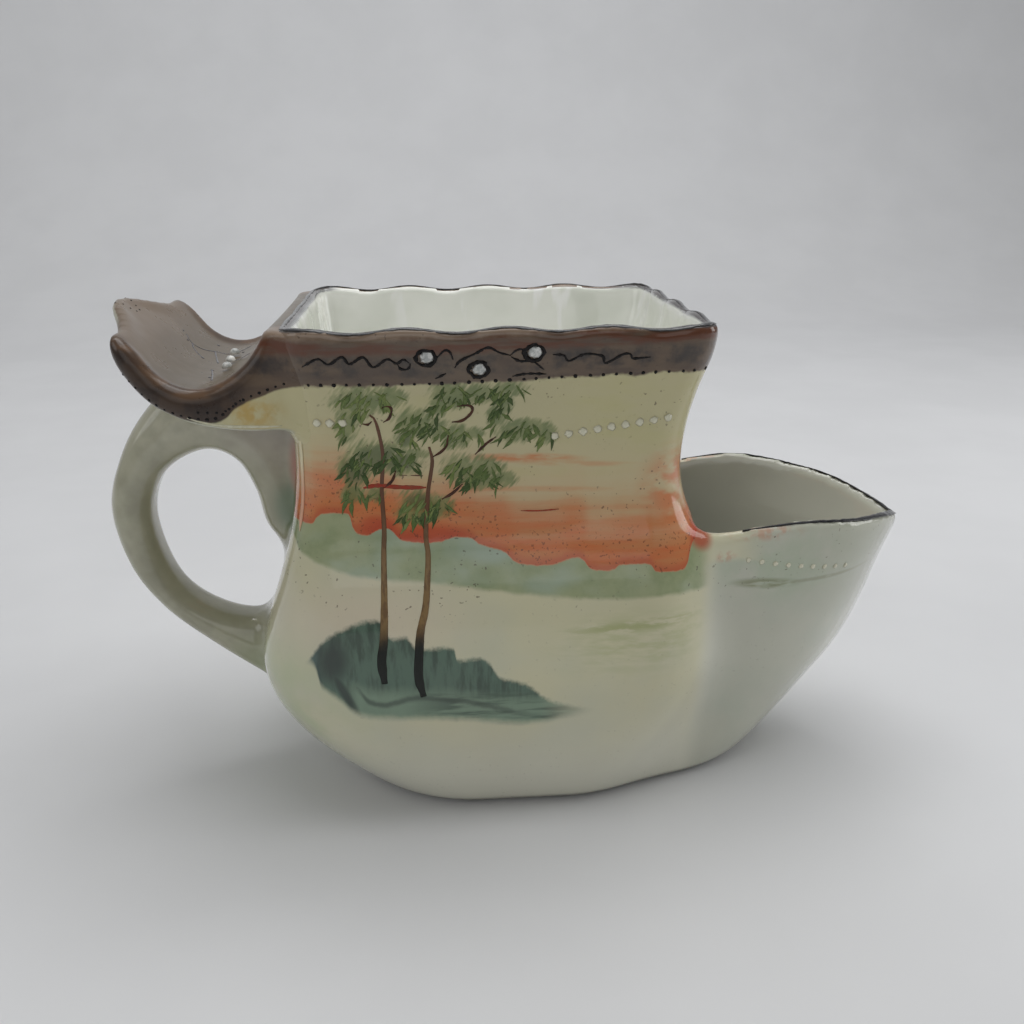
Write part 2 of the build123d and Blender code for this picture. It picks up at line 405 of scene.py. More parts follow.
def joined(grid, form, others, fillet):
    """The form with a fillet that runs on to the others and ends hidden just under their surface."""
    dive = 0.03 + SINK * smoothstep(0.4 * fillet, 1.3 * fillet, form)
    whole = smin(form, others + dive, fillet)
    whole = np.maximum(whole, form - 1.3 * fillet)
    whole = np.maximum(whole, -1.8 - body_field(grid))
    return np.maximum(whole, -1.8 - others)


def relaxed(points, quads, rounds=8):
    """The points with the grid's fine ripple ironed out and no shrinking."""
    edges = np.vstack([quads[:, [i, (i + 1) % 4]] for i in range(4)])
    count = np.bincount(edges[:, 0], minlength=len(points)).astype(float)[:, None]
    for share in [0.55, -0.57] * rounds:
        total = [np.bincount(edges[:, 0], points[edges[:, 1], axis], len(points)) for axis in range(3)]
        points = points + share * (np.stack(total, axis=-1) / count - points)
    return points


def mesh_from(name, points, faces, materials, face_material=None):
    """A smooth object from millimetre points, with one material index per face."""
    mesh = bpy.data.meshes.new(name)
    mesh.from_pydata((np.asarray(points) * MM).tolist(), [], [tuple(face) for face in faces])
    for material in materials:
        mesh.materials.append(material)
    if face_material is not None:
        mesh.polygons.foreach_set("material_index", np.asarray(face_material, np.int32))
    mesh.polygons.foreach_set("use_smooth", np.ones(len(mesh.polygons), bool))
    mesh.update()
    piece = bpy.data.objects.new(name, mesh)
    bpy.context.collection.objects.link(piece)
    return piece


def cast(name, grid, field, materials, inner=None):
    """A closed porcelain piece; the second material goes where the inner field is the nearer one."""
    points, quads = surface_net(grid, field)
    points = relaxed(grid.settle(field, points), quads)
    middles = points[quads].mean(axis=1)
    chosen = None
    if inner is not None:
        outer_field, hollow = inner
        chosen = np.abs(grid.sample(hollow, middles)) < np.abs(grid.sample(outer_field, middles))
    return mesh_from(name, points, quads.tolist(), materials, chosen)


def cast_mug(outside, inside, handle_glaze, rest_glaze):
    """The three cast shapes: cup with spout, brush rest and handle."""
    grid, outer, hollow, solid = cup_fields()
    mug = cast("mug_body", grid, solid, [outside, inside], (outer, hollow))
    skins = {"outer": (grid, outer), "solid": (grid, solid)}
    grid = Grid((-81.0, -36.0, 74.0), (-33.0, 36.0, 102.0), FINE_STEP)
    rest = joined(grid, cradle_form(grid), cup_form(grid), 4.0)
    rest = np.maximum(rest, smin(grid.z - RIM_Z + 1.0, grid.x + 50.0, 2.0))
    rest_field = grid.soften(rest)
    rest = cast("rest_cradle", grid, rest_field, [rest_glaze])
    skins["rest"] = (grid, rest_field)
    grid = Grid((-85.0, -15.0, 2.0), (-36.0, 15.0, 90.0), FINE_STEP)
    both = np.minimum(cup_form(grid), cradle_form(grid))
    handle = joined(grid, handle_form(grid), both, 4.5)
    handle = cast("handle_loop", grid, grid.soften(handle), [handle_glaze])
    return mug, rest, handle, skins


# ---------------------------------------------------------------- paint and glaze
class Paint:
    """Builds a glazed-porcelain material, working in millimetres of the part's own frame."""

    def __init__(self, name, roughness=0.12, coat=0.6, specular=0.5):
        self.material = bpy.data.materials.new(name)
        self.material.use_nodes = True
        self.tree = self.material.node_tree
        self.shader = self.tree.nodes["Principled BSDF"]
        self.shader.inputs["Roughness"].default_value = roughness
        self.shader.inputs["Coat Weight"].default_value = coat
        self.shader.inputs["Coat Roughness"].default_value = 0.05
        self.shader.inputs["Specular IOR Level"].default_value = specular
        place = self.add("ShaderNodeTexCoord").outputs["Object"]
        self.place = self.vector("MULTIPLY", place, (1 / MM, 1 / MM, 1 / MM))
        parts = self.add("ShaderNodeSeparateXYZ", Vector=self.place).outputs
        self.x, self.y, self.z = parts
        self.away = self.math("ABSOLUTE", self.y)
        # noise is read off the origin, so that the symmetry plane has no pattern of its own
        self.shifted = self.vector("ADD", self.place, (31.0, 7.0, 11.0))

    def add(self, kind, **inputs):
        node = self.tree.nodes.new(kind)
        for name, value in inputs.items():
            self.feed(node.inputs[name.replace("_", " ")], value)
        return node

    def feed(self, socket, value):
        if isinstance(value, bpy.types.NodeSocket):
            self.tree.links.new(value, socket)
        elif socket.type == "RGBA" and len(value) == 3:
            socket.default_value = (*value, 1.0)
        else:
            socket.default_value = value

    def math(self, operation, a, b=0.0, c=0.0):
        node = self.add("ShaderNodeMath")
        node.operation = operation
        for socket, value in zip(node.inputs, (a, b, c)):
            self.feed(socket, value)
        return node.outputs[0]

    def vector(self, operation, a, b):
        node = self.add("ShaderNodeVectorMath")
        node.operation = operation
        self.feed(node.inputs[0], a)
        self.feed(node.inputs[1], b)
        return node.outputs[0]

    def step(self, low, high, value):
        """0 below the low value, 1 above the high one, smooth between."""
        node = self.add("ShaderNodeMapRange", Value=value, From_Min=low, From_Max=high)
        node.interpolation_type = "SMOOTHSTEP"
        return node.outputs[0]

    def noise(self, size, detail=3.0, rough=0.55, stretch=(1.0, 1.0, 1.0), distortion=0.0):
        """Noise from 0 to 1 whose blots are about the given size in millimetres."""
        place = self.vector("MULTIPLY", self.shifted, tuple(part / size for part in stretch))
        node = self.add("ShaderNodeTexNoise", Vector=place, Scale=1.0, Detail=detail, Roughness=rough)
        node.inputs["Distortion"].default_value = distortion
        return node.outputs["Fac"]

    def wobble(self, size, amount, **more):
        """Noise as a shift of up to about the given amount either way."""
        return self.math("MULTIPLY_ADD", self.noise(size, **more), 2.0 * amount, -amount)

    def curve(self, value, points):
        """A smooth curve through (place, height) points, read at the value."""
        low, high = points[0][0], points[-1][0]
        heights = [height for _, height in points]
        floor, top = min(heights), max(heights) + 1e-6
        node = self.add("ShaderNodeFloatCurve")
        drawn = node.mapping.curves[0]
        scaled = [((at - low) / (high - low), (height - floor) / (top - floor)) for at, height in points]
        drawn.points[0].location = scaled[0]
        drawn.points[1].location = scaled[-1]
        for at in scaled[1:-1]:
            drawn.points.new(*at)
        node.mapping.update()
        span = self.add("ShaderNodeMapRange", Value=value, From_Min=low, From_Max=high)
        self.feed(node.inputs["Value"], span.outputs[0])
        return self.math("MULTIPLY_ADD", node.outputs[0], top - floor, floor)

    def mix(self, factor, a, b):
        node = self.add("ShaderNodeMix")
        node.data_type = "RGBA"
        self.feed(node.inputs[0], factor)
        self.feed(node.inputs[6], a)
        self.feed(node.inputs[7], b)
        return node.outputs[2]

    def both(self, a, b):
        return self.math("MULTIPLY", a, b)

    def wash(self, colour, mask, strength, top):
        """The colour with another laid over it inside the mask."""
        return self.mix(self.both(mask, strength), colour, top)

    def leaning_noise(self, across, along):
        """Brush-hair noise drawn out along strokes that lean down to the left."""
        first = self.math("MULTIPLY_ADD", self.z, -0.75, self.x)
        second = self.math("MULTIPLY_ADD", self.x, 0.75, self.z)
        u = self.math("DIVIDE", first, across * 1.25)
        v = self.math("DIVIDE", second, along * 1.25)
        w = self.math("DIVIDE", self.y, 2.0)
        place = self.add("ShaderNodeCombineXYZ", X=u, Y=v, Z=w).outputs[0]
        return self.add("ShaderNodeTexNoise", Vector=place, Scale=1.0, Detail=3.0).outputs["Fac"]

    def spread(self, tufts, scale, margin):
        """Below 1 inside any of the tufts' ellipses in side view, 0 at their middles."""
        nearest = 9.0
        for x, z, wide, high, *_ in tufts:
            wide, high = wide * scale + margin, high * scale + margin
            u = self.math("MULTIPLY_ADD", self.x, 1 / wide, -x / wide)
            v = self.math("MULTIPLY_ADD", self.z, 1 / high, -z / high)
            here = self.math("MULTIPLY_ADD", u, u, self.math("MULTIPLY", v, v))
            nearest = self.math("MINIMUM", here, nearest)
        return nearest

    def facing(self, axis):
        normal = self.add("ShaderNodeNewGeometry").outputs["Normal"]
        return self.add("ShaderNodeSeparateXYZ", Vector=normal).outputs[axis]

    def blob(self, x, z, width, height, soft=0.5, tilt=0.0):
        """1 inside an ellipse seen from the side, fading to 0 outside it."""
        dx = self.math("SUBTRACT", self.x, x)
        dz = self.math("SUBTRACT", self.z, z)
        turned = self.math("MULTIPLY_ADD", dx, -tilt, dz)
        u = self.math("DIVIDE", dx, width)
        v = self.math("DIVIDE", turned, height)
        far = self.math("SQRT", self.math("ADD", self.math("MULTIPLY", u, u), self.math("MULTIPLY", v, v)))
        return self.step(1.0 + soft, 1.0 - soft, far)

    def finish(self, colour, bump=None, depth=0.05, roughness=None):
        self.feed(self.shader.inputs["Base Color"], colour)
        if roughness is not None:
            self.feed(self.shader.inputs["Roughness"], roughness)
        if bump is not None:
            node = self.add("ShaderNodeBump", Height=bump, Distance=depth * MM, Strength=1.0)
            self.feed(self.shader.inputs["Normal"], node.outputs[0])
            self.feed(self.shader.inputs["Coat Normal"], node.outputs[0])
        return self.material


def tone(red, green, blue):
    """A linear colour from 0-255 display values."""
    return tuple(((part / 255 + 0.055) / 1.055) ** 2.4 for part in (red, green, blue))


CREAM = tone(211, 207, 174)
SKY = tone(198, 191, 149)
ORANGE = tone(208, 104, 50)
RED = tone(186, 68, 40)
GREEN = tone(160, 169, 130)
TEAL = tone(76, 106, 91)
DEEP_TEAL = tone(8, 40, 40)
BAND = tone(104, 86, 68)
BAND_DARK = tone(94, 50, 26)
BAND_LIP_REFLECTION = tone(146, 126, 108)
SPOUT_WHITE = tone(198, 199, 183)
WORN_GREY = tone(74, 74, 78)
INK = tone(8, 7, 7)

# side view of the painted washes
BAND_EDGE = [
    (-56, 85.4), (-44, 86.2), (-34, 86.2), (-17, 86.2), (-5.5, 86.6), (8, 87.2), (28, 87.8), (40, 87.8),
]
REST_EDGE = [
    (-76, 96), (-72, 90.6), (-69.9, 87.4), (-65.5, 82.9), (-60.8, 80.6), (-55, 80.0), (-50.5, 82.9),
    (-46.5, 84.6), (-42.7, 85.9), (-34, 86.3),
]
SUNSET_EDGE = [
    (-52, 61.5), (-40, 60.9), (-38.8, 62.2), (-36.3, 63.1), (-33.1, 63), (-32.5, 60.8), (-30.1, 59.2),
    (-26.9, 60.2), (-23.5, 58), (-18.1, 57.5), (-13.2, 58.4), (-9.7, 57), (-5.5, 55.6), (-1.1, 53.1),
    (3.8, 53.1), (7.8, 54.1), (10.6, 52), (13.6, 51.7), (16.5, 52.7), (21.2, 52.6), (22.6, 51.2),
    (27.8, 51), (29.3, 54.4), (31.7, 57.5), (36, 60),
]
# brushed streaks over the sunset in side view: middle, half width, half height, strength
SUNSET_STREAKS = [
    (-1.5, 72.5, 8.5, 0.75, 0.85), (8.0, 71.2, 9.0, 0.5, 0.4), (2.0, 66.6, 12.0, 0.5, 0.35),
    (-30.0, 64.6, 5.0, 0.8, 0.6), (20.0, 60.0, 9.0, 1.0, 0.4),
]
GREEN_EDGE = [
    (-52, 60), (-44, 58), (-42.2, 55.4), (-37.6, 53.6), (-31.3, 51.7), (-17, 50), (-7.3, 48.5),
    (2.4, 47.2), (12, 46.5), (30.6, 46.3), (60, 43), (84, 40),
]
ISLAND_TOP = [
    (-42, 36), (-41.1, 36.9), (-38.8, 39.9), (-35.1, 42.6), (-28.4, 44.2), (-26, 40.8), (-23.8, 41.1),
    (-21.7, 38.9), (-15, 38.7), (-14.3, 36.6), (-9.8, 36.6), (-6.5, 32.8), (-2, 31.3), (3, 27.6),
    (10.7, 25.4), (14, 24.6),
]
ISLAND_FOLD = [(-42, 6.0), (-33, 5.4), (-29, 3.0), (-22, 4.4), (-14, 4.2), (-6, 3.0), (4, 1.2), (14, 0.5)]
ISLAND_FOOT = [
    (-42, 36), (-41.2, 36.1), (-39.2, 31.7), (-35.7, 29.1), (-32.9, 26.3), (-28.4, 25.1), (-19.1, 24.6),
    (-11.5, 23.8), (0, 22.7), (5.8, 23.8), (10.7, 24.6), (14, 24.6),
]


def rim_crest(p):
    """Where the rim's crest is brushed dark: its two short sides, unevenly."""
    crest = p.both(p.step(0.45, 0.75, p.facing("Z")), p.step(91.0, 92.5, p.z))
    ends = p.math("MAXIMUM", p.step(-36.5, -39.5, p.x), p.step(22.0, 27.0, p.x))
    return p.both(p.both(crest, ends), p.step(0.15, 0.42, p.noise(2.6)))


def sky_colour(p):
    sky = p.mix(p.step(58, 80, p.z), tone(206, 186, 148), SKY)
    patches = p.step(0.5, 0.75, p.noise(10.0, stretch=(0.5, 1, 1.4)))
    return p.mix(p.both(patches, 0.5), sky, tone(194, 189, 132))


def band_colour(p):
    """Brown band: smoky, rusty in streaks, sooty round the drawing, and lighter along the lip as a painted
    reflection.
    """
    shift = p.math("ADD", p.wobble(1.6, 0.5, detail=4.0), p.wobble(4.0, 0.6))
    depth = p.math("SUBTRACT", p.math("ADD", p.z, shift), p.curve(p.x, BAND_EDGE))
    smoky = p.noise(3.2, detail=4.0, stretch=(0.35, 0.6, 1.3))
    band = p.mix(p.step(0.32, 0.68, smoky), BAND, tone(84, 68, 56))
    rusty = p.both(p.step(5.0, 6.4, depth), p.step(9.4, 7.4, depth))
    streaks = p.step(0.34, 0.56, p.noise(2.4, stretch=(0.18, 0.3, 1.2)))
    band = p.mix(p.both(rusty, streaks), band, BAND_DARK)
    soot = p.both(p.step(1.2, 2.6, depth), p.step(6.2, 4.6, depth))
    band = p.mix(p.both(soot, p.step(0.42, 0.66, p.noise(4.0, detail=4.0))), band, tone(54, 46, 42))
    # painted reflection: the band lightened along its top where the lip catches the light
    return p.mix(p.both(p.step(7.6, 9.0, depth), 0.85), band, BAND_LIP_REFLECTION), depth


def lake_and_foot(p, brush):
    """Bare glaze below the shore: warm above, pale at the foot, with a few washes and a painted highlight
    down the corner beside the spout.
    """
    colour = p.mix(p.step(0.35, 0.75, p.noise(22.0)), CREAM, tone(203, 203, 178))
    colour = p.mix(p.step(30, 4, p.z), colour, tone(218, 217, 200))
    colour = p.wash(colour, p.blob(-30, 44, 14, 6, 0.9), 0.5, tone(220, 204, 188))
    side = p.both(p.blob(-50, 20, 15, 16, 0.7), p.step(0.3, 0.7, p.noise(12.0)))
    colour = p.wash(colour, side, 0.55, tone(176, 194, 146))
    streak = p.both(p.blob(19, 38.5, 12, 5.0, 0.8, 0.06), p.step(0.30, 0.7, brush))
    colour = p.wash(colour, streak, 0.6, tone(178, 184, 134))
    streak = p.both(p.blob(18, 41.6, 10, 0.9, 0.7, 0.06), p.step(0.35, 0.55, brush))
    colour = p.wash(colour, streak, 0.6, tone(158, 166, 104))
    # painted highlight: a pale upright stripe on the front of the belly's corner next to the spout, standing
    # in for the light glancing off it
    painted_corner_highlight = p.both(p.blob(38.0, 31.0, 4.2, 17.0, 0.9), p.step(16.0, 22.0, p.away))
    return p.wash(colour, painted_corner_highlight, 0.42, tone(240, 241, 236))


def far_shore(p, colour, blots, on_body):
    """The far shore in soft green."""
    shore = p.math("ADD", p.curve(p.x, GREEN_EDGE), p.wobble(3.0, 0.5))
    depth = p.math("SUBTRACT", p.z, shore)
    green = p.mix(p.step(0.35, 0.7, blots), GREEN, tone(134, 150, 108))
    green = p.mix(p.step(0.45, 0.7, p.noise(14.0, stretch=(0.6, 1, 1))), green, tone(160, 178, 160))
    return p.wash(colour, p.both(p.step(-0.3, 0.9, depth), on_body), 0.92, green)


def sky_and_sunset(p, colour, brush, on_body):
    """Sky, and the sunset that fades up into it; also where both are and the height in them."""
    sunset = p.math("ADD", p.curve(p.x, SUNSET_EDGE), p.wobble(1.4, 0.35))
    rise = p.math("SUBTRACT", p.z, sunset)
    lit = p.both(p.step(-0.15, 0.25, rise), on_body)
    colour = p.mix(lit, colour, sky_colour(p))
    slow = p.wobble(9.0, 1.4, detail=2.0)
    hairs = p.wobble(1.9, 4.5, stretch=(0.07, 0.2, 1.0), detail=4.0)
    fade_top = p.math("ADD", rise, p.math("ADD", slow, hairs))
    bright = p.step(0.35, 0.65, p.noise(3.0, stretch=(0.25, 0.5, 1.5), detail=4.0))
    orange = p.mix(bright, ORANGE, tone(202, 121, 68))
    orange = p.wash(orange, p.step(2.2, 0.2, rise), 0.7, RED)
    colour = p.wash(colour, p.both(lit, p.step(19.0, 4.0, fade_top)), 0.5, tone(206, 158, 112))
    colour = p.wash(colour, p.both(lit, p.step(13.5, 3.5, fade_top)), 0.86, orange)
    for across, up, wide, high, strength in SUNSET_STREAKS:
        streak = p.both(p.blob(across, up, wide, high, 0.6, -0.03), p.step(0.25, 0.6, brush))
        colour = p.wash(colour, streak, strength, tone(204, 122, 66))
    patch = p.both(p.blob(27, 66, 6.0, 6.5, 0.6), p.step(0.32, 0.62, p.noise(2.6, stretch=(0.5, 0.3, 0.9))))
    patch = p.both(p.both(patch, lit), p.step(19.0, 22.0, p.away))
    colour = p.wash(colour, patch, 0.7, ORANGE)
    for clot in ((-28, 60.6, 3.4, 1.9), (-19, 58.8, 7.0, 1.7)):
        colour = p.wash(colour, p.both(p.blob(*clot, 0.5), lit), 0.7, RED)
    corner = p.both(p.blob(31.6, 56.2, 2.2, 2.2, 0.5, -0.4), p.step(14.0, 17.0, p.away))
    return p.wash(colour, corner, 0.8, RED), lit, rise


def spout_wash(p, colour, blots, brush):
    """The spout, in a cooler white with a little green wash and two orange stains."""
    spout = p.step(31.0, 37.0, p.x)
    cool = p.mix(p.step(0.4, 0.7, p.noise(16.0)), SPOUT_WHITE, tone(192, 196, 180))
    wash = p.both(p.blob(50, 49, 16, 6.5, 0.6, -0.05), p.step(0.3, 0.6, blots))
    cool = p.wash(cool, wash, 0.6, tone(176, 190, 164))
    cool = p.wash(cool, p.both(p.step(44, 70, p.x), p.step(32, 42, p.z)), 0.7, tone(178, 180, 163))
    leaf = p.both(p.blob(45.5, 45.6, 6.0, 1.0, 0.5, -0.05), p.step(0.25, 0.55, brush))
    cool = p.wash(cool, leaf, 0.8, tone(134, 140, 104))
    stem = p.both(p.blob(58.0, 45.4, 9.5, 0.4, 0.6, -0.02), p.step(0.2, 0.5, brush))
    cool = p.wash(cool, stem, 0.6, tone(150, 152, 128))
    low_or_far = p.math("MAXIMUM", p.step(52.0, 50.0, p.z), p.step(38.0, 46.0, p.x))
    colour = p.mix(p.both(spout, low_or_far), colour, cool)
    stain = p.both(p.blob(44.0, 56.2, 6.0, 1.4, 0.6), p.step(0.38, 0.62, p.noise(2.0)))
    colour = p.wash(colour, stain, 0.45, tone(200, 118, 82))
    stain = p.both(p.blob(37.0, 51.6, 1.8, 1.0, 0.6), p.step(0.4, 0.6, p.noise(1.6)))
    return p.wash(colour, stain, 0.35, tone(196, 112, 78))


def island(p, colour):
    """The island with upright brush marks, a dark lobe at its left and long sweeps at its foot."""
    top = p.math("ADD", p.curve(p.x, ISLAND_TOP), p.wobble(0.9, 0.6))
    foot = p.math("ADD", p.curve(p.x, ISLAND_FOOT), p.wobble(2.2, 0.5))
    above = p.math("SUBTRACT", p.z, foot)
    below = p.math("SUBTRACT", top, p.z)
    isle = p.both(p.step(-0.9, 1.3, above), p.step(-0.5, 0.8, below))
    isle = p.both(isle, p.both(p.step(-42.4, -40.6, p.x), p.step(13.0, 0.0, p.x)))
    hairs = p.noise(1.5, detail=4.0, stretch=(1.0, 1.0, 0.18))
    sweeps = p.noise(1.3, detail=3.0, stretch=(0.12, 0.3, 1.0))
    water = p.mix(p.step(0.40, 0.64, hairs), TEAL, tone(42, 70, 60))
    pale = p.both(p.step(7.5, 4.0, above), p.step(-35.5, -32.0, p.x))
    water = p.wash(water, pale, 0.85, tone(126, 152, 130))
    dark = p.both(p.step(0.42, 0.62, sweeps), p.both(p.step(-26, -14, p.x), p.step(8.0, 5.0, above)))
    water = p.wash(water, dark, 0.8, tone(46, 76, 64))
    fold = p.math("ABSOLUTE", p.math("SUBTRACT", above, p.curve(p.x, ISLAND_FOLD)))
    crease = p.both(p.step(1.0, 0.1, fold), p.both(p.step(-33.5, -31.0, p.x), p.step(8.0, -12.0, p.x)))
    water = p.wash(water, crease, 0.7, tone(30, 56, 50))
    water = p.wash(water, p.step(-38.4, -40.2, p.x), 0.6, tone(66, 94, 96))
    upper = p.blob(-36.8, 36.6, 2.7, 3.7, 0.6, 0.2)
    lower = p.blob(-35.0, 30.8, 2.4, 1.7, 0.6, -1.8)
    water = p.wash(water, p.math("MAXIMUM", upper, lower), 0.92, DEEP_TEAL)
    return p.wash(colour, isle, 0.95, water)


def leaf_washes(p, colour):
    """Soft leaning washes under the leaves, darker under a few tufts."""
    lean = p.leaning_noise(0.5, 2.6)
    reach = p.math("ADD", p.spread(TUFTS, 1.35, 0.5), p.math("MULTIPLY_ADD", lean, 2.4, -1.2))
    tuft = p.mix(p.step(0.35, 0.65, p.noise(2.6)), tone(100, 120, 66), tone(130, 140, 88))
    dark = p.step(0.9, 0.1, p.spread(TUFTS[3:6] + TUFTS[19:20] + TUFTS[27:28], 1.2, 0.3))
    tuft = p.wash(tuft, dark, 0.8, tone(66, 88, 46))
    return p.wash(colour, p.step(1.25, 0.25, reach), 0.85, tuft)


def specks_age_and_foot_shade(p, colour, lit, rise):
    """Iron specks, pepper in the sunset, the faint grey of age, and painted shade darkening the glaze along
    the bottom edge by the floor.
    """
    specks = p.both(p.step(0.69, 0.73, p.noise(0.8, detail=1.0)), p.step(0.42, 0.6, p.noise(9.0)))
    strength = p.math("MULTIPLY_ADD", p.step(43.0, 47.0, p.z), 0.5, 0.12)
    colour = p.wash(colour, specks, strength, tone(78, 60, 48))
    pepper = p.both(p.step(0.64, 0.70, p.noise(0.62, detail=1.0)), p.both(lit, p.step(9.0, 4.0, rise)))
    colour = p.wash(colour, pepper, 0.55, tone(96, 50, 34))
    colour = p.wash(colour, p.step(0.3, 0.8, p.noise(30.0, detail=6.0)), 0.12, tone(150, 146, 134))
    # painted shade: the lowest couple of millimetres darkened as the shadow where the mug meets the floor
    return p.wash(colour, p.step(2.4, 0.8, p.z), 0.6, tone(100, 96, 80))


def painted_glaze():
    """The outside of the mug: sky, sunset, far shore, lake and island under a brown band."""
    p = Paint("painted_glaze", coat=0.4, specular=0.38)
    blots = p.noise(7.0, detail=5.0, rough=0.6)
    brush = p.noise(1.2, detail=3.0, stretch=(0.22, 0.5, 1.0))
    on_body = p.step(34.5, 31.0, p.x)
    colour = far_shore(p, lake_and_foot(p, brush), blots, on_body)
    colour, lit, rise = sky_and_sunset(p, colour, brush, on_body)
    colour = spout_wash(p, colour, blots, brush)
    colour = leaf_washes(p, island(p, colour))
    band, band_depth = band_colour(p)
    colour = p.mix(p.both(p.step(-0.2, 0.5, band_depth), p.step(79, 80, p.z)), colour, band)
    colour = p.wash(colour, rim_crest(p), 0.85, WORN_GREY)
    colour = specks_age_and_foot_shade(p, colour, lit, rise)
    bump = p.math("MULTIPLY_ADD", p.noise(1.4, detail=2.0), 0.10, p.noise(11.0, detail=1.0))
    rough = p.math("MULTIPLY_ADD", p.noise(6.0), 0.10, 0.08)
    return p.finish(colour, bump, 0.10, rough)


def white_glaze(name="white_glaze", hue=tone(243, 244, 236)):
    """The inside: white glaze, faintly green where it pools, with painted highlight streaks on the cup's
    walls and painted shade inside the spout.
    """
    p = Paint(name)
    colour = p.mix(p.step(0.35, 0.7, p.noise(18.0)), hue, tone(228, 231, 220))
    # painted highlights: bright upright streaks high on the inner walls, standing in for reflections in the
    # glaze
    streaks = p.step(0.54, 0.68, p.noise(6.5, stretch=(1.0, 1.0, 0.22), distortion=0.6))
    streaks = p.both(streaks, p.step(58, 64, p.z))
    colour = p.wash(colour, streaks, 0.8, tone(255, 255, 253))
    # painted shade: the inside of the spout greyed, darkest near the cup and lightening toward the tip
    spout = p.both(p.step(29.0, 29.8, p.x), p.step(63.0, 60.0, p.z))
    grey = p.mix(p.step(36, 80, p.x), tone(168, 168, 156), tone(222, 224, 212))
    colour = p.mix(spout, colour, grey)
    colour = p.wash(colour, rim_crest(p), 0.85, WORN_GREY)
    bump = p.noise(10.0, detail=1.5)
    return p.finish(colour, bump, 0.30, p.math("MULTIPLY_ADD", p.noise(5.0), 0.08, 0.06))


def handle_glaze():
    """Grey-green wash, thinner on the edges, with a green and a violet tinge near the joints."""
    p = Paint("grey_glaze")
    colour = p.mix(p.step(0.3, 0.7, p.noise(9.0, detail=4.0)), tone(180, 178, 156), tone(164, 163, 140))
    colour = p.wash(colour, p.step(62, 78, p.z), 0.6, tone(212, 210, 190))
    seam = p.both(p.step(4.0, 5.6, p.away), p.step(0.35, 0.65, p.noise(7.0)))
    colour = p.wash(colour, seam, 0.4, tone(140, 138, 120))
    colour = p.wash(colour, p.blob(-50, 20, 10, 8, 0.8), 0.6, tone(160, 172, 132))
    colour = p.wash(colour, p.blob(-49, 75, 8, 7, 0.8), 0.4, tone(160, 148, 152))
    colour = p.wash(colour, p.blob(-46, 57.5, 3.2, 5, 0.6), 0.75, tone(96, 118, 92))
    colour = p.wash(colour, p.blob(-43, 66, 2.4, 6, 0.5), 0.75, tone(168, 82, 60))
    bump = p.noise(9.0, detail=2.0)
    return p.finish(colour, bump, 0.10, p.math("MULTIPLY_ADD", p.noise(4.0), 0.10, 0.10))


def rest_glaze():
    """Warm brown wash, dark and rusty along the near edges, pale on worn lips and underneath."""
    p = Paint("brown_glaze", coat=0.25, specular=0.35)
    facing = p.facing("Z")
    colour = p.mix(p.step(0.3, 0.7, p.noise(8.0, detail=4.0)), tone(106, 90, 66), tone(95, 81, 59))
    colour = p.wash(colour, p.step(-62, -72, p.x), 0.4, tone(142, 120, 104))
    edge = p.step(20.0, 25.5, p.math("ADD", p.away, p.wobble(5.0, 1.5)))
    rust = p.mix(p.step(0.4, 0.6, p.noise(3.0, stretch=(0.5, 1, 1.5))), tone(78, 58, 46), tone(104, 78, 58))
    colour = p.wash(colour, edge, 0.85, rust)
    low = p.both(p.step(0.62, 0.1, facing), p.step(23.0, 26.0, p.away))
    umber = p.mix(p.step(0.4, 0.6, p.noise(4.0)), tone(42, 32, 28), tone(62, 48, 38))
    colour = p.wash(colour, low, 0.85, umber)
    near_cup = p.both(p.step(-53.0, -46.0, p.x), p.step(22.0, 25.5, p.away))
    colour = p.mix(near_cup, colour, band_colour(p)[0])
    end_wall = p.both(p.step(-0.45, -0.75, p.facing("X")), p.step(14.0, 9.0, p.away))
    colour = p.wash(colour, end_wall, 0.85, tone(196, 194, 176))
    worn = p.both(p.step(-75.0, -77.0, p.x), p.step(0.4, 0.55, p.noise(3.0)))
    colour = p.wash(colour, worn, 0.6, tone(190, 186, 170))
    # below the brown the wash of the sky runs on, with an ochre patch
    ochre = p.both(p.blob(-48.5, 81.6, 4.0, 2.6, 0.9), p.step(0.3, 0.62, p.noise(2.2)))
    pale = p.mix(ochre, sky_colour(p), tone(190, 162, 96))
    pale = p.mix(p.step(-50.0, -62.0, p.x), pale, tone(188, 190, 166))
    below = p.math("SUBTRACT", p.z, p.math("ADD", p.curve(p.x, REST_EDGE), p.wobble(2.0, 0.25)))
    colour = p.mix(p.step(0.25, -0.25, below), colour, pale)
    colour = p.mix(p.step(-0.55, -0.85, facing), colour, tone(184, 184, 164))
    return p.finish(colour, p.noise(8.0, detail=2.0), 0.10, p.math("MULTIPLY_ADD", p.noise(4.0), 0.14, 0.22))


def bark():
    """Trunks: ochre-brown in the middle, reddish above, nearly black at the foot."""
    p = Paint("bark_brown", roughness=0.3, coat=0.15, specular=0.3)
    z = p.math("ADD", p.z, p.wobble(3.0, 1.5))
    colour = p.mix(p.step(50, 66, z), tone(136, 110, 72), tone(104, 70, 50))
    ridges = p.step(0.45, 0.65, p.noise(0.9, stretch=(1, 1, 0.3)))
    colour = p.wash(colour, ridges, 0.6, tone(96, 70, 50))
    colour = p.mix(p.step(44.5, 38.5, z), colour, tone(20, 25, 19))
    return p.finish(colour, p.noise(0.7), 0.03)


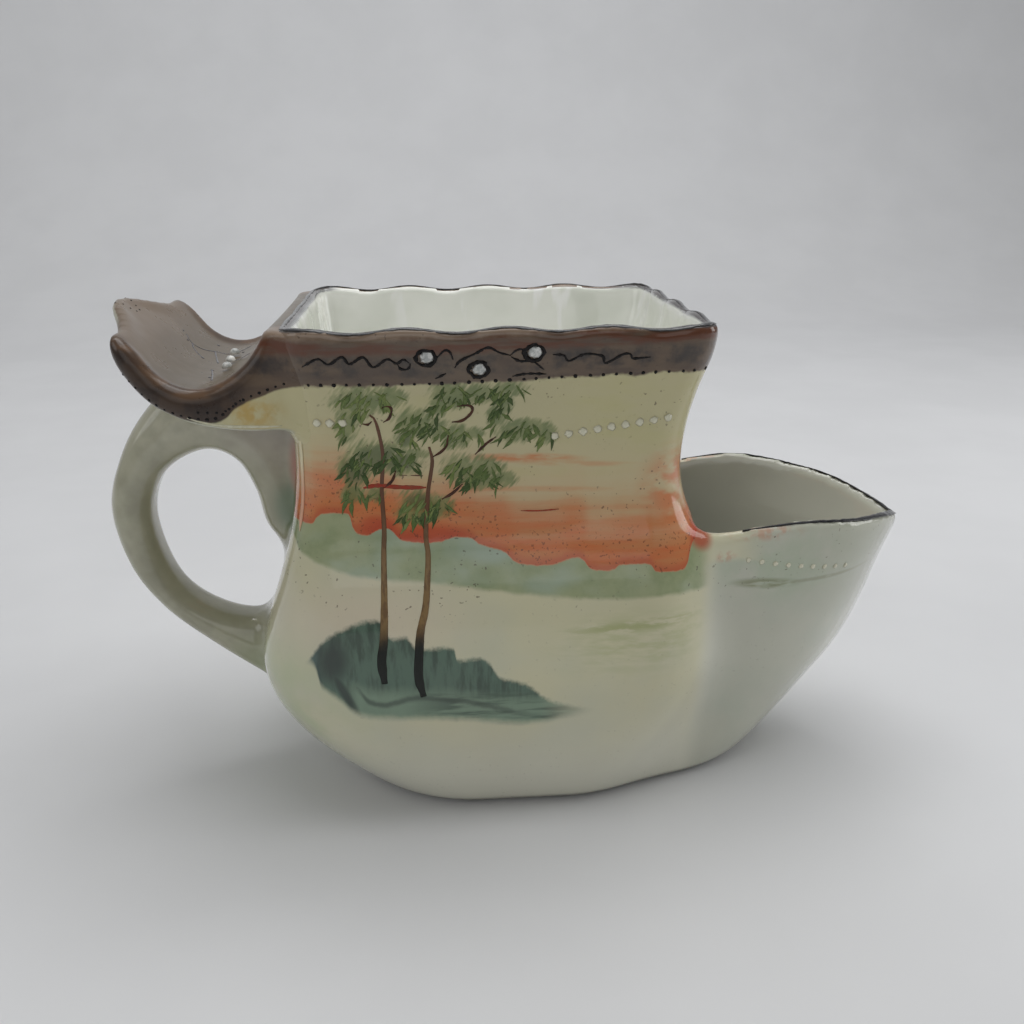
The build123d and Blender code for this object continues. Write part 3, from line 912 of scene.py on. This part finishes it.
def corner_ridge_highlight():
    """A raised ridge down the corner, coloured pale as a painted highlight along it, tinted by the colours
    beside it.
    """
    p = Paint("corner_ridge_highlight", roughness=0.15)
    colour = p.mix(p.step(61, 57, p.z), tone(222, 168, 134), tone(190, 196, 166))
    colour = p.mix(p.step(66, 73, p.z), colour, tone(226, 216, 178))
    colour = p.wash(colour, p.step(0.5, 0.7, p.noise(2.0)), 0.3, SKY)
    return p.finish(colour, p.noise(1.5), 0.03)


def enamel(name, colour, other, size=1.0, coat=0.4):
    """Thick raised enamel, uneven in colour at brush-mark scale."""
    p = Paint(name, roughness=0.2, coat=coat, specular=coat)
    mixed = p.mix(p.step(0.35, 0.65, p.noise(size, detail=3.0)), colour, other)
    return p.finish(mixed, p.noise(0.7), 0.03)


# ---------------------------------------------------------------- brushwork standing on the glaze
TRUNKS = [
    [(-28.5, 81), (-27.5, 79.7), (-26.6, 74.5), (-26.7, 70.9), (-27, 66.9), (-26.8, 60.4), (-27, 55.9),
     (-27.2, 46.6), (-27.5, 40.5), (-28, 36.7), (-27.6, 32.4)],
    [(-18.4, 74.9), (-17.9, 72.4), (-18.3, 69.5), (-18.8, 66.5), (-19.4, 59.1), (-19.1, 55.7), (-19.3, 51.7),
     (-19.8, 46.3), (-20.8, 42.1), (-21.2, 38), (-21.4, 33.3), (-20.6, 29.5)],
]
TRUNK_WIDTHS = [(29, 0.78), (36, 0.82), (45, 0.66), (52, 0.52), (60, 0.42), (82, 0.26)]   # by height
BRANCHES = [
    [(-26.2, 79.6), (-25.1, 80.4), (-24.7, 82.2), (-25.6, 82.6), (-26.4, 82.2)],
    [(-24.4, 70.6), (-25.1, 68.8), (-26.6, 67.5)],
    [(-17.8, 73.0), (-16.2, 74.0), (-15.3, 75.2), (-15.0, 77.0)],
    [(-14.3, 79.4), (-12.6, 79.6), (-11.1, 80.8), (-10.7, 82.0), (-11.8, 82.5), (-13.4, 82.3)],
    [(-10.3, 73.3), (-8.4, 75.2), (-6.6, 76.5)],
    [(-16.4, 65.2), (-14.4, 66.3), (-12.6, 67.9)],
    [(-29.8, 79.4), (-28.9, 79.2), (-28.2, 79.8)],
]
DASHES = [[(-23.9, 69.8), (-22.4, 69.7)], [(-21.8, 69.7), (-19.6, 69.6)]]
SUNSET_DASH = [(-2.2, 62.8), (1.2, 62.7), (4.7, 62.9)]
CORNER_LINE = [(-41.8, 78.4), (-41.1, 75.5), (-41.1, 70.0), (-41.3, 65.0), (-41.8, 61.6), (-42.2, 59.0)]
WING_LINE = [(-59.5, 80.9), (-57.0, 80.1), (-53.4, 79.4), (-47.5, 79.2), (-43.6, 79.2)]
RED_BAR = [(-30.2, 67.6), (-27.6, 68.0), (-24.0, 67.6), (-19.1, 67.4)]
# tufts of leaves in side view: middle, half width, half height, dabs, and which of three greens
TUFTS = [
    (-29.6, 83.6, 4.0, 2.0, 26, 2), (-32.6, 79.4, 1.2, 2.6, 9, 2), (-24.6, 84.2, 1.8, 1.2, 6, 2),
    (-27.4, 73.2, 4.2, 2.2, 34, 0), (-31.6, 70.8, 2.2, 2.4, 16, 0), (-23.8, 72.2, 3.2, 1.6, 14, 0),
    (-21.0, 73.6, 1.8, 0.5, 5, 1), (-32.0, 66.6, 1.6, 1.2, 9, 1), (-28.4, 66.4, 1.2, 0.8, 4, 1),
    (-14.6, 84.8, 2.6, 2.0, 18, 1), (-9.6, 84.6, 2.6, 1.2, 12, 1), (-4.8, 85.4, 2.8, 0.8, 12, 1),
    (-16.4, 82.6, 0.9, 1.6, 6, 1), (-5.4, 83.0, 1.1, 1.8, 9, 0), (-6.6, 80.4, 1.0, 1.8, 7, 1),
    (-3.2, 77.4, 2.4, 1.4, 12, 1), (-1.0, 78.6, 1.8, 0.8, 8, 1), (2.2, 77.0, 1.3, 1.4, 8, 1),
    (-20.6, 79.4, 2.6, 2.0, 18, 1), (-22.6, 76.6, 1.2, 1.4, 7, 2), (-17.6, 78.2, 2.4, 1.2, 12, 0),
    (-13.6, 76.8, 2.0, 1.6, 10, 1), (-10.8, 77.4, 1.4, 0.6, 4, 1), (-13.2, 70.8, 2.2, 1.8, 14, 2),
    (-8.8, 70.6, 2.8, 1.6, 18, 1), (-9.6, 68.6, 3.0, 1.2, 14, 0), (-5.4, 68.6, 1.8, 0.9, 5, 1),
    (-20.6, 64.8, 2.4, 1.6, 14, 2), (-17.4, 64.0, 2.2, 1.4, 16, 0), (-22.6, 62.6, 1.4, 1.0, 7, 2),
    (-19.6, 62.2, 1.4, 0.7, 5, 0),
]
DOTTED_EDGE = (-41.0, 30.5)    # from where to where the band's lower edge is dotted
# ink lines on the brown band in side view
INK_LINES = [
    [(-39.2, 89.9), (-36.5, 91.3), (-34.8, 90.3), (-32.5, 91.6), (-31.3, 90.3), (-29, 91.5), (-27.4, 89.7),
     (-25, 91.1), (-23.5, 90.3), (-22.3, 91.0), (-21.4, 90.4)],
    [(-23.3, 90.2), (-22.9, 89.4), (-22.0, 89.2), (-21.3, 89.6), (-21.2, 90.3)],
    [(-16.6, 91.3), (-15.4, 92.5), (-14.5, 92.2), (-14.0, 90.9)],
    [(-13.7, 89.4), (-12.8, 90.6), (-10.2, 91.9), (-8.1, 92.9), (-6.2, 92.0), (-4.4, 91.5)],
    [(-4.4, 91.4), (-3.4, 92.3), (-2.3, 92.5), (-1.9, 91.5)],
    [(-4.2, 91.2), (-2.6, 90.4), (-0.6, 90.4), (1.5, 88.8)],
    [(-17.0, 87.5), (-16.1, 87.9), (-15.2, 88.4)],
    [(-3.9, 87.7), (-1.4, 88.1), (1.9, 88.0)],
    [(2.9, 91.5), (4.8, 91.3), (5.7, 90.3), (8.4, 91.5), (11.4, 91.1), (12, 89.8), (15, 91.4), (16.3, 91.3),
     (16.7, 90.6), (19.7, 90.8)],
]
JEWELS = [(-18.5, 91.4), (-9.6, 89.1), (-0.2, 92.0)]
JEWEL_R = 1.18
RING_HALF = (1.62, 1.38)       # half width and half height of the ink ring round a jewel
# rows of slip beads in side view: first, last, count, radius and height
BEAD_ROWS = [
    ((3.8, 76.4), (24.0, 79.4), 9, 0.78, 0.30),
    ((-37.6, 79.7), (-33.2, 79.6), 3, 0.78, 0.30),
    ((41.6, 50.6), (63.0, 46.9), 9, 0.55, 0.18),
]
# marks on the cradle in plan
VEE = [(-76.0, -3.4), (-74.4, -2.4), (-73.0, -1.0)]
SPRIG = [
    [(-66.6, 9.2), (-65.4, 8.0), (-63.6, 9.6), (-61.6, 12.4), (-59.4, 12.8)],
    [(-65.4, 8.0), (-64.4, 5.4), (-62.6, 3.8)],
    [(-61.8, 12.0), (-60.6, 7.0), (-59.6, 3.0)],
    [(-59.6, -3.6), (-58.6, -8.0), (-57.6, -14.0)],
    [(-59.4, 12.8), (-57.4, 16.0), (-55.6, 20.0)],
    [(-58.6, 5.0), (-56.0, 6.0), (-54.4, 9.0)],
]
SPRIG_DOTS = [
    (-67.2, 9.4), (-66.0, 7.2), (-62.6, 3.6), (-62.2, 18.0), (-59.4, -4.0), (-58.4, -11.0), (-56.4, 14.0),
]


class Brushwork:
    """Thin closed strokes and dots lying on a skin, gathered into one piece."""

    def __init__(self, skin, seed):
        self.grid, self.field = skin
        self.random = random.Random(seed)
        self.points, self.faces, self.kinds = [], [], []

    def front(self, flat):
        """Where side-view (x, z) points meet the front of the skin."""
        flat = np.asarray(flat, float)
        depths = np.arange(-37.0, 0.0, 0.5)
        count = len(flat)
        x = np.repeat(flat[:, 0], len(depths))
        z = np.repeat(flat[:, 1], len(depths))
        y = np.tile(depths, count)
        values = self.grid.sample(self.field, np.stack([x, y, z], axis=-1)).reshape(count, -1)
        if not (values < 0).any(axis=1).all():
            raise ValueError("a painted point misses the skin")
        first = np.argmax(values < 0, axis=1)
        rows = np.arange(count)
        after, before = values[rows, first], values[rows, np.maximum(first - 1, 0)]
        y = depths[first] - 0.5 * after / (after - before - 1e-9)
        return np.stack([flat[:, 0], y, flat[:, 1]], axis=-1)

    def top(self, flat):
        """Where plan-view (x, y) points meet the skin from above."""
        low = self.grid.low[2]
        heights = np.arange(low + 0.5, low + self.grid.step * (self.field.shape[2] - 2), 0.3)
        points = []
        for x, y in np.asarray(flat, float):
            column = np.stack([0 * heights + x, 0 * heights + y, heights], axis=-1)
            values = self.grid.sample(self.field, column)
            last = len(heights) - 1 - np.argmax(values[::-1] < 0)
            points.append((x, y, heights[last]))
        return self.grid.settle(self.field, np.array(points))

    def normals(self, points):
        direction, size = self.grid.slope(self.field, points)
        return direction / size

    def add(self, points, faces, kind):
        start = len(self.points)
        self.points.extend(points)
        self.faces.extend([tuple(start + i for i in face) for face in faces])
        self.kinds.extend([kind] * len(faces))

    def stroke(self, path, widths, height=0.07, kind=0, closed=False):
        """A closed ribbon along 3-D points; widths are half widths along it."""
        path = np.asarray(path, float)
        path = self.grid.settle(self.field, path, rounds=2)
        up = self.normals(path)
        if closed:
            along = np.roll(path, -1, axis=0) - np.roll(path, 1, axis=0)
        else:
            along = np.gradient(path, axis=0)
        side = np.cross(up, along)
        side /= np.linalg.norm(side, axis=1, keepdims=True) + 1e-9
        widths = np.broadcast_to(np.asarray(widths, float), (len(path),))[:, None]
        section = [(-1.0, -0.02), (-0.55, height), (0.55, height), (1.0, -0.02), (0.5, -0.25), (-0.5, -0.25)]
        rings = np.stack([path + side * widths * across + up * lift for across, lift in section], axis=1)
        count, size = rings.shape[:2]
        faces = []
        for i in range(count if closed else count - 1):
            j = (i + 1) % count
            for k in range(size):
                m = (k + 1) % size
                faces.append((i * size + k, i * size + m, j * size + m, j * size + k))
        if not closed:
            faces.append(tuple(range(size))[::-1])
            faces.append(tuple((count - 1) * size + k for k in range(size)))
        self.add(rings.reshape(-1, 3), faces, kind)

    def line(self, flat, width, height=0.07, kind=0, spacing=0.5, taper=0.35, smooth=True, steady=0.82):
        """A stroke along side-view points, a little thinner at its ends and unsteady in width."""
        path = spline(flat, spacing) if smooth else np.array(flat, float)
        share = np.linspace(0, 1, len(path))
        ends = np.clip(np.minimum(share, 1 - share) * len(path) / 2.5, taper, 1)
        wander = np.array([self.random.uniform(steady, 2 - steady) for _ in path])
        self.stroke(self.front(path), np.asarray(width) * ends * wander, height, kind)

    def dot(self, place, radius, height=0.12, kind=0, sides=9):
        """A low dome, out of round, at a 3-D place on the skin."""
        place = self.grid.settle(self.field, np.array([place], float), rounds=2)
        up = self.normals(place)[0]
        first = np.cross(up, (0.3, 0.2, 1.0))
        first /= np.linalg.norm(first)
        second = np.cross(up, first)
        turns = [2 * math.pi * i / sides for i in range(sides)]
        reach = [radius * self.random.uniform(0.85, 1.15) for _ in turns]
        points = []
        for share, lift in ((1.0, -0.03), (0.6, 0.75 * height)):
            for turn, far in zip(turns, reach):
                flat = first * math.cos(turn) + second * math.sin(turn)
                points.append(place[0] + flat * far * share + up * lift)
        points.append(place[0] + up * height)
        points.append(place[0] - up * 0.25)
        faces = []
        for i in range(sides):
            j = (i + 1) % sides
            faces.append((i, j, sides + j, sides + i))
            faces.append((sides + i, sides + j, 2 * sides))
            faces.append((j, i, 2 * sides + 1))
        self.add(points, faces, kind)

    def piece(self, name, materials, mirrored=True):
        """The gathered strokes as an object, repeated on the back."""
        points = np.array(self.points)
        faces, kinds = list(self.faces), list(self.kinds)
        if mirrored:
            start = len(points)
            points = np.vstack([points, points * (1, -1, 1)])
            faces += [tuple(start + i for i in face[::-1]) for face in self.faces]
            kinds += self.kinds
        shaped = mesh_from(name, points, faces, materials, kinds)
        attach(shaped, "root")
        return shaped


def paint_trees(skin, brown, twig, red):
    """Trunks, branches, short dashes, the red bar, and the raised line down the corner, painted pale as its
    highlight.
    """
    work = Brushwork(skin, 3)
    for trunk in TRUNKS:
        path = spline(trunk, 0.9)
        width = smooth_curve(TRUNK_WIDTHS, path[:, 1])
        work.line(path, width, 0.03, 0, taper=0.7, smooth=False, steady=0.97)
    for branch in BRANCHES:
        work.line(branch, 0.26, 0.09, 1)
    for dash in DASHES:
        work.line(dash, 0.13, 0.04, 0)
    work.line(SUNSET_DASH, 0.13, 0.04, 2)
    work.line(RED_BAR, 0.38, 0.06, 2)
    # raised ridge down the body's corner, coloured pale as a painted highlight
    work.line(CORNER_LINE, 0.55, 0.11, 3, spacing=0.9, taper=0.2, steady=0.94)
    work.piece("brushed_trunks", [brown, twig, red, corner_ridge_highlight()])


def paint_leaves(skin, greens):
    """Leaning dabs: most hang down to the left, those at a tuft's right end to the right."""
    work = Brushwork(skin, 11)
    pick = work.random.uniform
    for x, z, wide, high, count, green in TUFTS:
        for _ in range(count):
            turn, far = pick(0, 2 * math.pi), math.sqrt(pick(0, 1))
            across, rise = far * math.cos(turn), far * math.sin(turn)
            start = (x + across * wide, z + rise * high)
            lean = math.radians(pick(215, 245) if across < 0.45 else pick(285, 330))
            length = pick(1.3, 3.3)
            bend = pick(-0.25, 0.45) * (1 if across < 0.45 else -1)
            path = [start]
            for step in (0.33, 0.66, 1.0):
                angle = lean + bend * step
                reach = length * step
                path.append((start[0] + reach * math.cos(angle), start[1] + reach * math.sin(angle)))
            shade = green if pick(0, 1) < 0.65 else work.random.choice((0, 1, 2))
            work.line(path, pick(0.20, 0.46), pick(0.04, 0.07), shade, spacing=0.6, taper=0.15)
    work.piece("brushed_leaves", greens)


def ring_round(skin, middle, height_at, inset, turns):
    """Points round an upright wall where rays from the middle meet the skin, moved in by the inset."""
    grid, field = skin
    reach = np.arange(14.0, 62.0, 0.25)
    path = []
    for turn in turns:
        ray = np.stack([middle + reach * math.cos(turn), reach * math.sin(turn), 0 * reach], axis=-1)
        ray[:, 2] = height_at(ray[:, 0])
        values = grid.sample(field, ray)
        last = np.argmax(values > 0)
        share = values[last] / (values[last] - values[last - 1] + 1e-9)
        path.append(ray[last] + (ray[last - 1] - ray[last]) * (share + inset / 0.25))
    return np.array(path)


def paint_lips(solid_skin, outer_skin, lip_ink, edge_ink):
    """The dark line along the crest of the cup's rim and of the spout's lip."""
    work = Brushwork(solid_skin, 9)
    turns = np.linspace(0, 2 * math.pi, 720, endpoint=False)
    rim = ring_round(outer_skin, CUP_MIDDLE, lambda x: RIM_Z - 1.6 + 0 * x, 0.9, turns)
    rim[:, 2] = RIM_Z + 0.1
    rim = spline(rim[::6], 0.9, closed=True)[:-1]
    widths = [work.random.uniform(0.34, 0.62) for _ in rim]
    work.stroke(rim, widths, 0.09, closed=True)
    turns = np.linspace(-1.95, 1.95, 420)
    lip = ring_round(outer_skin, 44.0, lambda x: smooth_curve(SPOUT_LIP, x) - 1.4, 0.7, turns)
    lip[:, 2] = smooth_curve(SPOUT_LIP, lip[:, 0]) + 0.1
    lip = lip[lip[:, 0] > 40.0]
    lip = spline(lip[::5], 0.8)
    tip = np.clip((lip[:, 0] - 42.0) / 38.0, 0, 1)
    widths = (0.16 + 0.62 * tip) * np.array([work.random.uniform(0.8, 1.2) for _ in lip])
    work.stroke(lip, widths, 0.09, kind=1)
    work.piece("lip_lines", [lip_ink, edge_ink], mirrored=False)


def paint_rest(rest_skin, ink, grey, pale):
    """Dots along the cradle's low edge, a dotted V at its end and a scribbled sprig beside the jewels."""
    work = Brushwork(rest_skin, 21)
    edge = work.front(spline(REST_EDGE[2:-1], 1.5) + (0.0, 0.75))
    inner = work.front(spline([(-57.5, 81.9), (-53.2, 82.0), (-50.2, 83.9)], 1.6))
    wing = work.front(spline(WING_LINE, 0.8))
    for side in (1, -1):
        for place in edge:
            work.dot(place * (1, side, 1), work.random.uniform(0.24, 0.36))
        for place in inner:
            work.dot(place * (1, side, 1), work.random.uniform(0.20, 0.30))
        work.stroke(wing * (1, side, 1), 0.36 * np.sin(np.linspace(0.2, 2.9, len(wing))), 0.10, kind=2)
    for arm in (VEE, [(x, -y) for x, y in VEE]):
        for place in work.top(spline(arm, 1.2)):
            work.dot(place, work.random.uniform(0.16, 0.24))
    for points in SPRIG:
        path = work.top(spline(points, 0.5))
        work.stroke(path, [work.random.uniform(0.16, 0.30) for _ in path], 0.06, kind=1)
    for x, y in SPRIG_DOTS:
        work.dot(work.top([(x, y)])[0], work.random.uniform(0.3, 0.5), kind=1)
    work.piece("rest_marks", [ink, grey, pale], mirrored=False)


def slip_dots(skin, slip):
    """The rows of low slip beads under the glaze."""
    work = Brushwork(skin, 31)
    for start, end, count, radius, height in BEAD_ROWS:
        for share in np.linspace(0, 1, count):
            place = np.array(start) + (np.array(end) - np.array(start)) * share
            work.dot(work.front([place])[0], radius, height, sides=14)
    beads = work.piece("slip_beads", [slip])
    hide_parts(*[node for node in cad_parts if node.startswith("slip_beads")])


def jewel_dots(skin, enamel_white):
    """The three larger enamel dots of the band, each a slightly lopsided dome."""
    work = Brushwork(skin, 41)
    for x, z in JEWELS:
        work.dot(work.front([(x + 0.1, z)])[0], JEWEL_R, 0.55, sides=18)
        work.dot(work.front([(x - 0.45, z + 0.1)])[0], 0.62, 0.70, sides=12)
    jewels = work.piece("band_jewels", [enamel_white])
    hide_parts("enamel_jewels_front", "enamel_jewels_back")


def paint_ink(skin, ink):
    """Dots along the band's edge, and zigzags and rings on the band."""
    work = Brushwork(skin, 5)
    at, end = DOTTED_EDGE
    while at < end:
        edge = smooth_curve(BAND_EDGE, at) + 0.35
        work.dot(work.front([(at, edge)])[0], work.random.uniform(0.27, 0.38), 0.09)
        at += work.random.uniform(2.0, 2.6)
    for points in INK_LINES:
        work.line(points, 0.23, 0.08, spacing=0.4, steady=0.65)
    for x, z in JEWELS:
        turns = np.linspace(0, 2 * math.pi, 22, endpoint=False)
        uneven = [work.random.uniform(0.88, 1.10) for _ in turns]
        ring = [
            (x - 0.1 + RING_HALF[0] * math.cos(turn) * far, z - 0.1 + RING_HALF[1] * math.sin(turn) * far)
            for turn, far in zip(turns, uneven)
        ]
        widths = [work.random.uniform(0.20, 0.52) for _ in turns]
        work.stroke(work.front(ring), widths, 0.16, closed=True)
    work.piece("ink_marks", [ink])


# ---------------------------------------------------------------- surroundings
# name, place, aim, size and power of each lamp
LAMPS = [
    ("overhead", (0.05, 0.06, 0.74), (0.0, 0.04, 0.0), (0.7, 0.55), 2.3),
    ("left", (-0.7, -0.30, 0.45), (0.0, 0.0, 0.04), (0.5, 0.5), 0.8),
    ("right", (0.60, 0.02, 0.24), (0.0, 0.0, 0.04), (0.30, 0.40), 0.9),
    ("front", (-0.1, -0.75, 0.35), (0.0, 0.0, 0.04), (0.7, 0.4), 0.5),
    ("backdrop", (0.0, 0.35, 1.1), (0.0, 0.9, 0.3), (1.6, 0.5), 3.4),
]
WORLD_POWER = 0.20
CAMERA_PLACE = (-0.01829, -0.20232, 0.12247)
CAMERA_AIM = (0.07838, 0.94272, -0.32425)
LENS = 36.0                    # millimetres, as wide as the sensor
# side view of the paper sweep: where it starts to rise, how wide it bends, and where it ends
SWEEP_START, SWEEP_BEND, SWEEP_FRONT, SWEEP_TOP, SWEEP_HALF = 0.55, 0.35, -1.2, 1.6, 1.8


def area_light(name, place, aim, size, energy):
    data = bpy.data.lights.new(name, "AREA")
    data.shape = "RECTANGLE"
    data.size, data.size_y = size
    data.energy = energy
    light = bpy.data.objects.new(name, data)
    light.location = place
    light.rotation_euler = (Vector(aim) - Vector(place)).to_track_quat("-Z", "Y").to_euler()
    bpy.context.collection.objects.link(light)


def make_surroundings():
    """Pale sweep of paper, the world and soft lights."""
    profile = [(SWEEP_FRONT, 0.0), (SWEEP_START, 0.0)]
    for turn in np.linspace(0.1, math.pi / 2, 12):
        profile.append((SWEEP_START + SWEEP_BEND * math.sin(turn), SWEEP_BEND * (1 - math.cos(turn))))
    profile.append((SWEEP_START + SWEEP_BEND, SWEEP_TOP))
    points = [(x, y, z) for y, z in profile for x in (-SWEEP_HALF, SWEEP_HALF)]
    faces = [(i, i + 1, i + 3, i + 2) for i in range(0, len(points) - 2, 2)]
    mesh = bpy.data.meshes.new("sweep")
    mesh.from_pydata(points, [], faces)
    mesh.polygons.foreach_set("use_smooth", [True] * len(faces))
    p = Paint("sweep_paper", roughness=0.6, coat=0.0, specular=0.3)
    colour = p.mix(p.step(0.3, 0.7, p.noise(60.0)), tone(226, 227, 229), tone(222, 223, 225))
    mesh.materials.append(p.finish(colour))
    sweep = bpy.data.objects.new("sweep", mesh)
    bpy.context.collection.objects.link(sweep)

    scene = bpy.context.scene
    scene.view_settings.view_transform = "Standard"
    world = bpy.data.worlds.new("studio")
    scene.world = world
    world.use_nodes = True
    world.node_tree.nodes["Background"].inputs[0].default_value = (0.90, 0.90, 0.89, 1.0)
    world.node_tree.nodes["Background"].inputs[1].default_value = WORLD_POWER
    for lamp in LAMPS:
        area_light(*lamp)


def make_camera():
    data = bpy.data.cameras.new("camera")
    data.lens = LENS
    data.sensor_width = LENS
    data.sensor_fit = "HORIZONTAL"
    data.clip_start = 0.01
    camera = bpy.data.objects.new("camera", data)
    camera.location = CAMERA_PLACE
    camera.rotation_euler = Vector(CAMERA_AIM).to_track_quat("-Z", "Y").to_euler()
    bpy.context.collection.objects.link(camera)
    bpy.context.scene.camera = camera


# ---------------------------------------------------------------- the whole object
def dress(node, material):
    """Gives a CAD node that stays visible its material."""
    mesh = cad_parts[node].data
    mesh.materials.clear()
    mesh.materials.append(material)


def build():
    outside = painted_glaze()
    inside = white_glaze()
    mug, rest, handle, skins = cast_mug(outside, inside, handle_glaze(), rest_glaze())
    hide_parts("body_shell", "spout_shell")
    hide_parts("brush_rest")
    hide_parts("handle")
    for piece in (mug, rest, handle):
        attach(piece, "root")
    dress("soap_strainer", white_glaze("strainer_glaze", tone(238, 240, 232)))
    twig = enamel("twig_brown", tone(66, 44, 34), tone(86, 54, 40), coat=0.15)
    red = enamel("bar_red", tone(160, 58, 40), tone(140, 66, 44), coat=0.2)
    skin = skins["outer"]
    paint_trees(skin, bark(), twig, red)
    greens = [
        enamel("leaf_dark", tone(66, 84, 46), tone(80, 98, 56), coat=0.15),
        enamel("leaf_green", tone(92, 110, 62), tone(108, 124, 74), coat=0.15),
        enamel("leaf_olive", tone(110, 128, 70), tone(128, 140, 86), coat=0.15),
    ]
    paint_leaves(skin, greens)
    ink = enamel("ink_black", INK, tone(28, 24, 24), coat=0.15)
    worn_ink = enamel("ink_worn", tone(52, 52, 54), tone(96, 96, 98), size=2.0)
    paint_ink(skin, ink)
    lip_black = enamel("lip_black", tone(16, 15, 17), tone(48, 48, 52), coat=0.2)
    paint_lips(skins["solid"], skin, worn_ink, lip_black)
    grey = enamel("sprig_grey", tone(60, 60, 66), tone(100, 98, 104))
    paint_rest(skins["rest"], ink, grey, enamel("wing_slip", tone(214, 212, 188), tone(202, 198, 168)))
    slip_dots(skin, enamel("slip_white", tone(222, 219, 196), tone(214, 212, 188)))
    jewel = enamel("enamel_white", tone(248, 248, 244), tone(176, 180, 178), size=1.3)
    jewel_dots(skin, jewel)
    dress("enamel_jewels_cradle", jewel)


make_camera()
make_surroundings()
build()
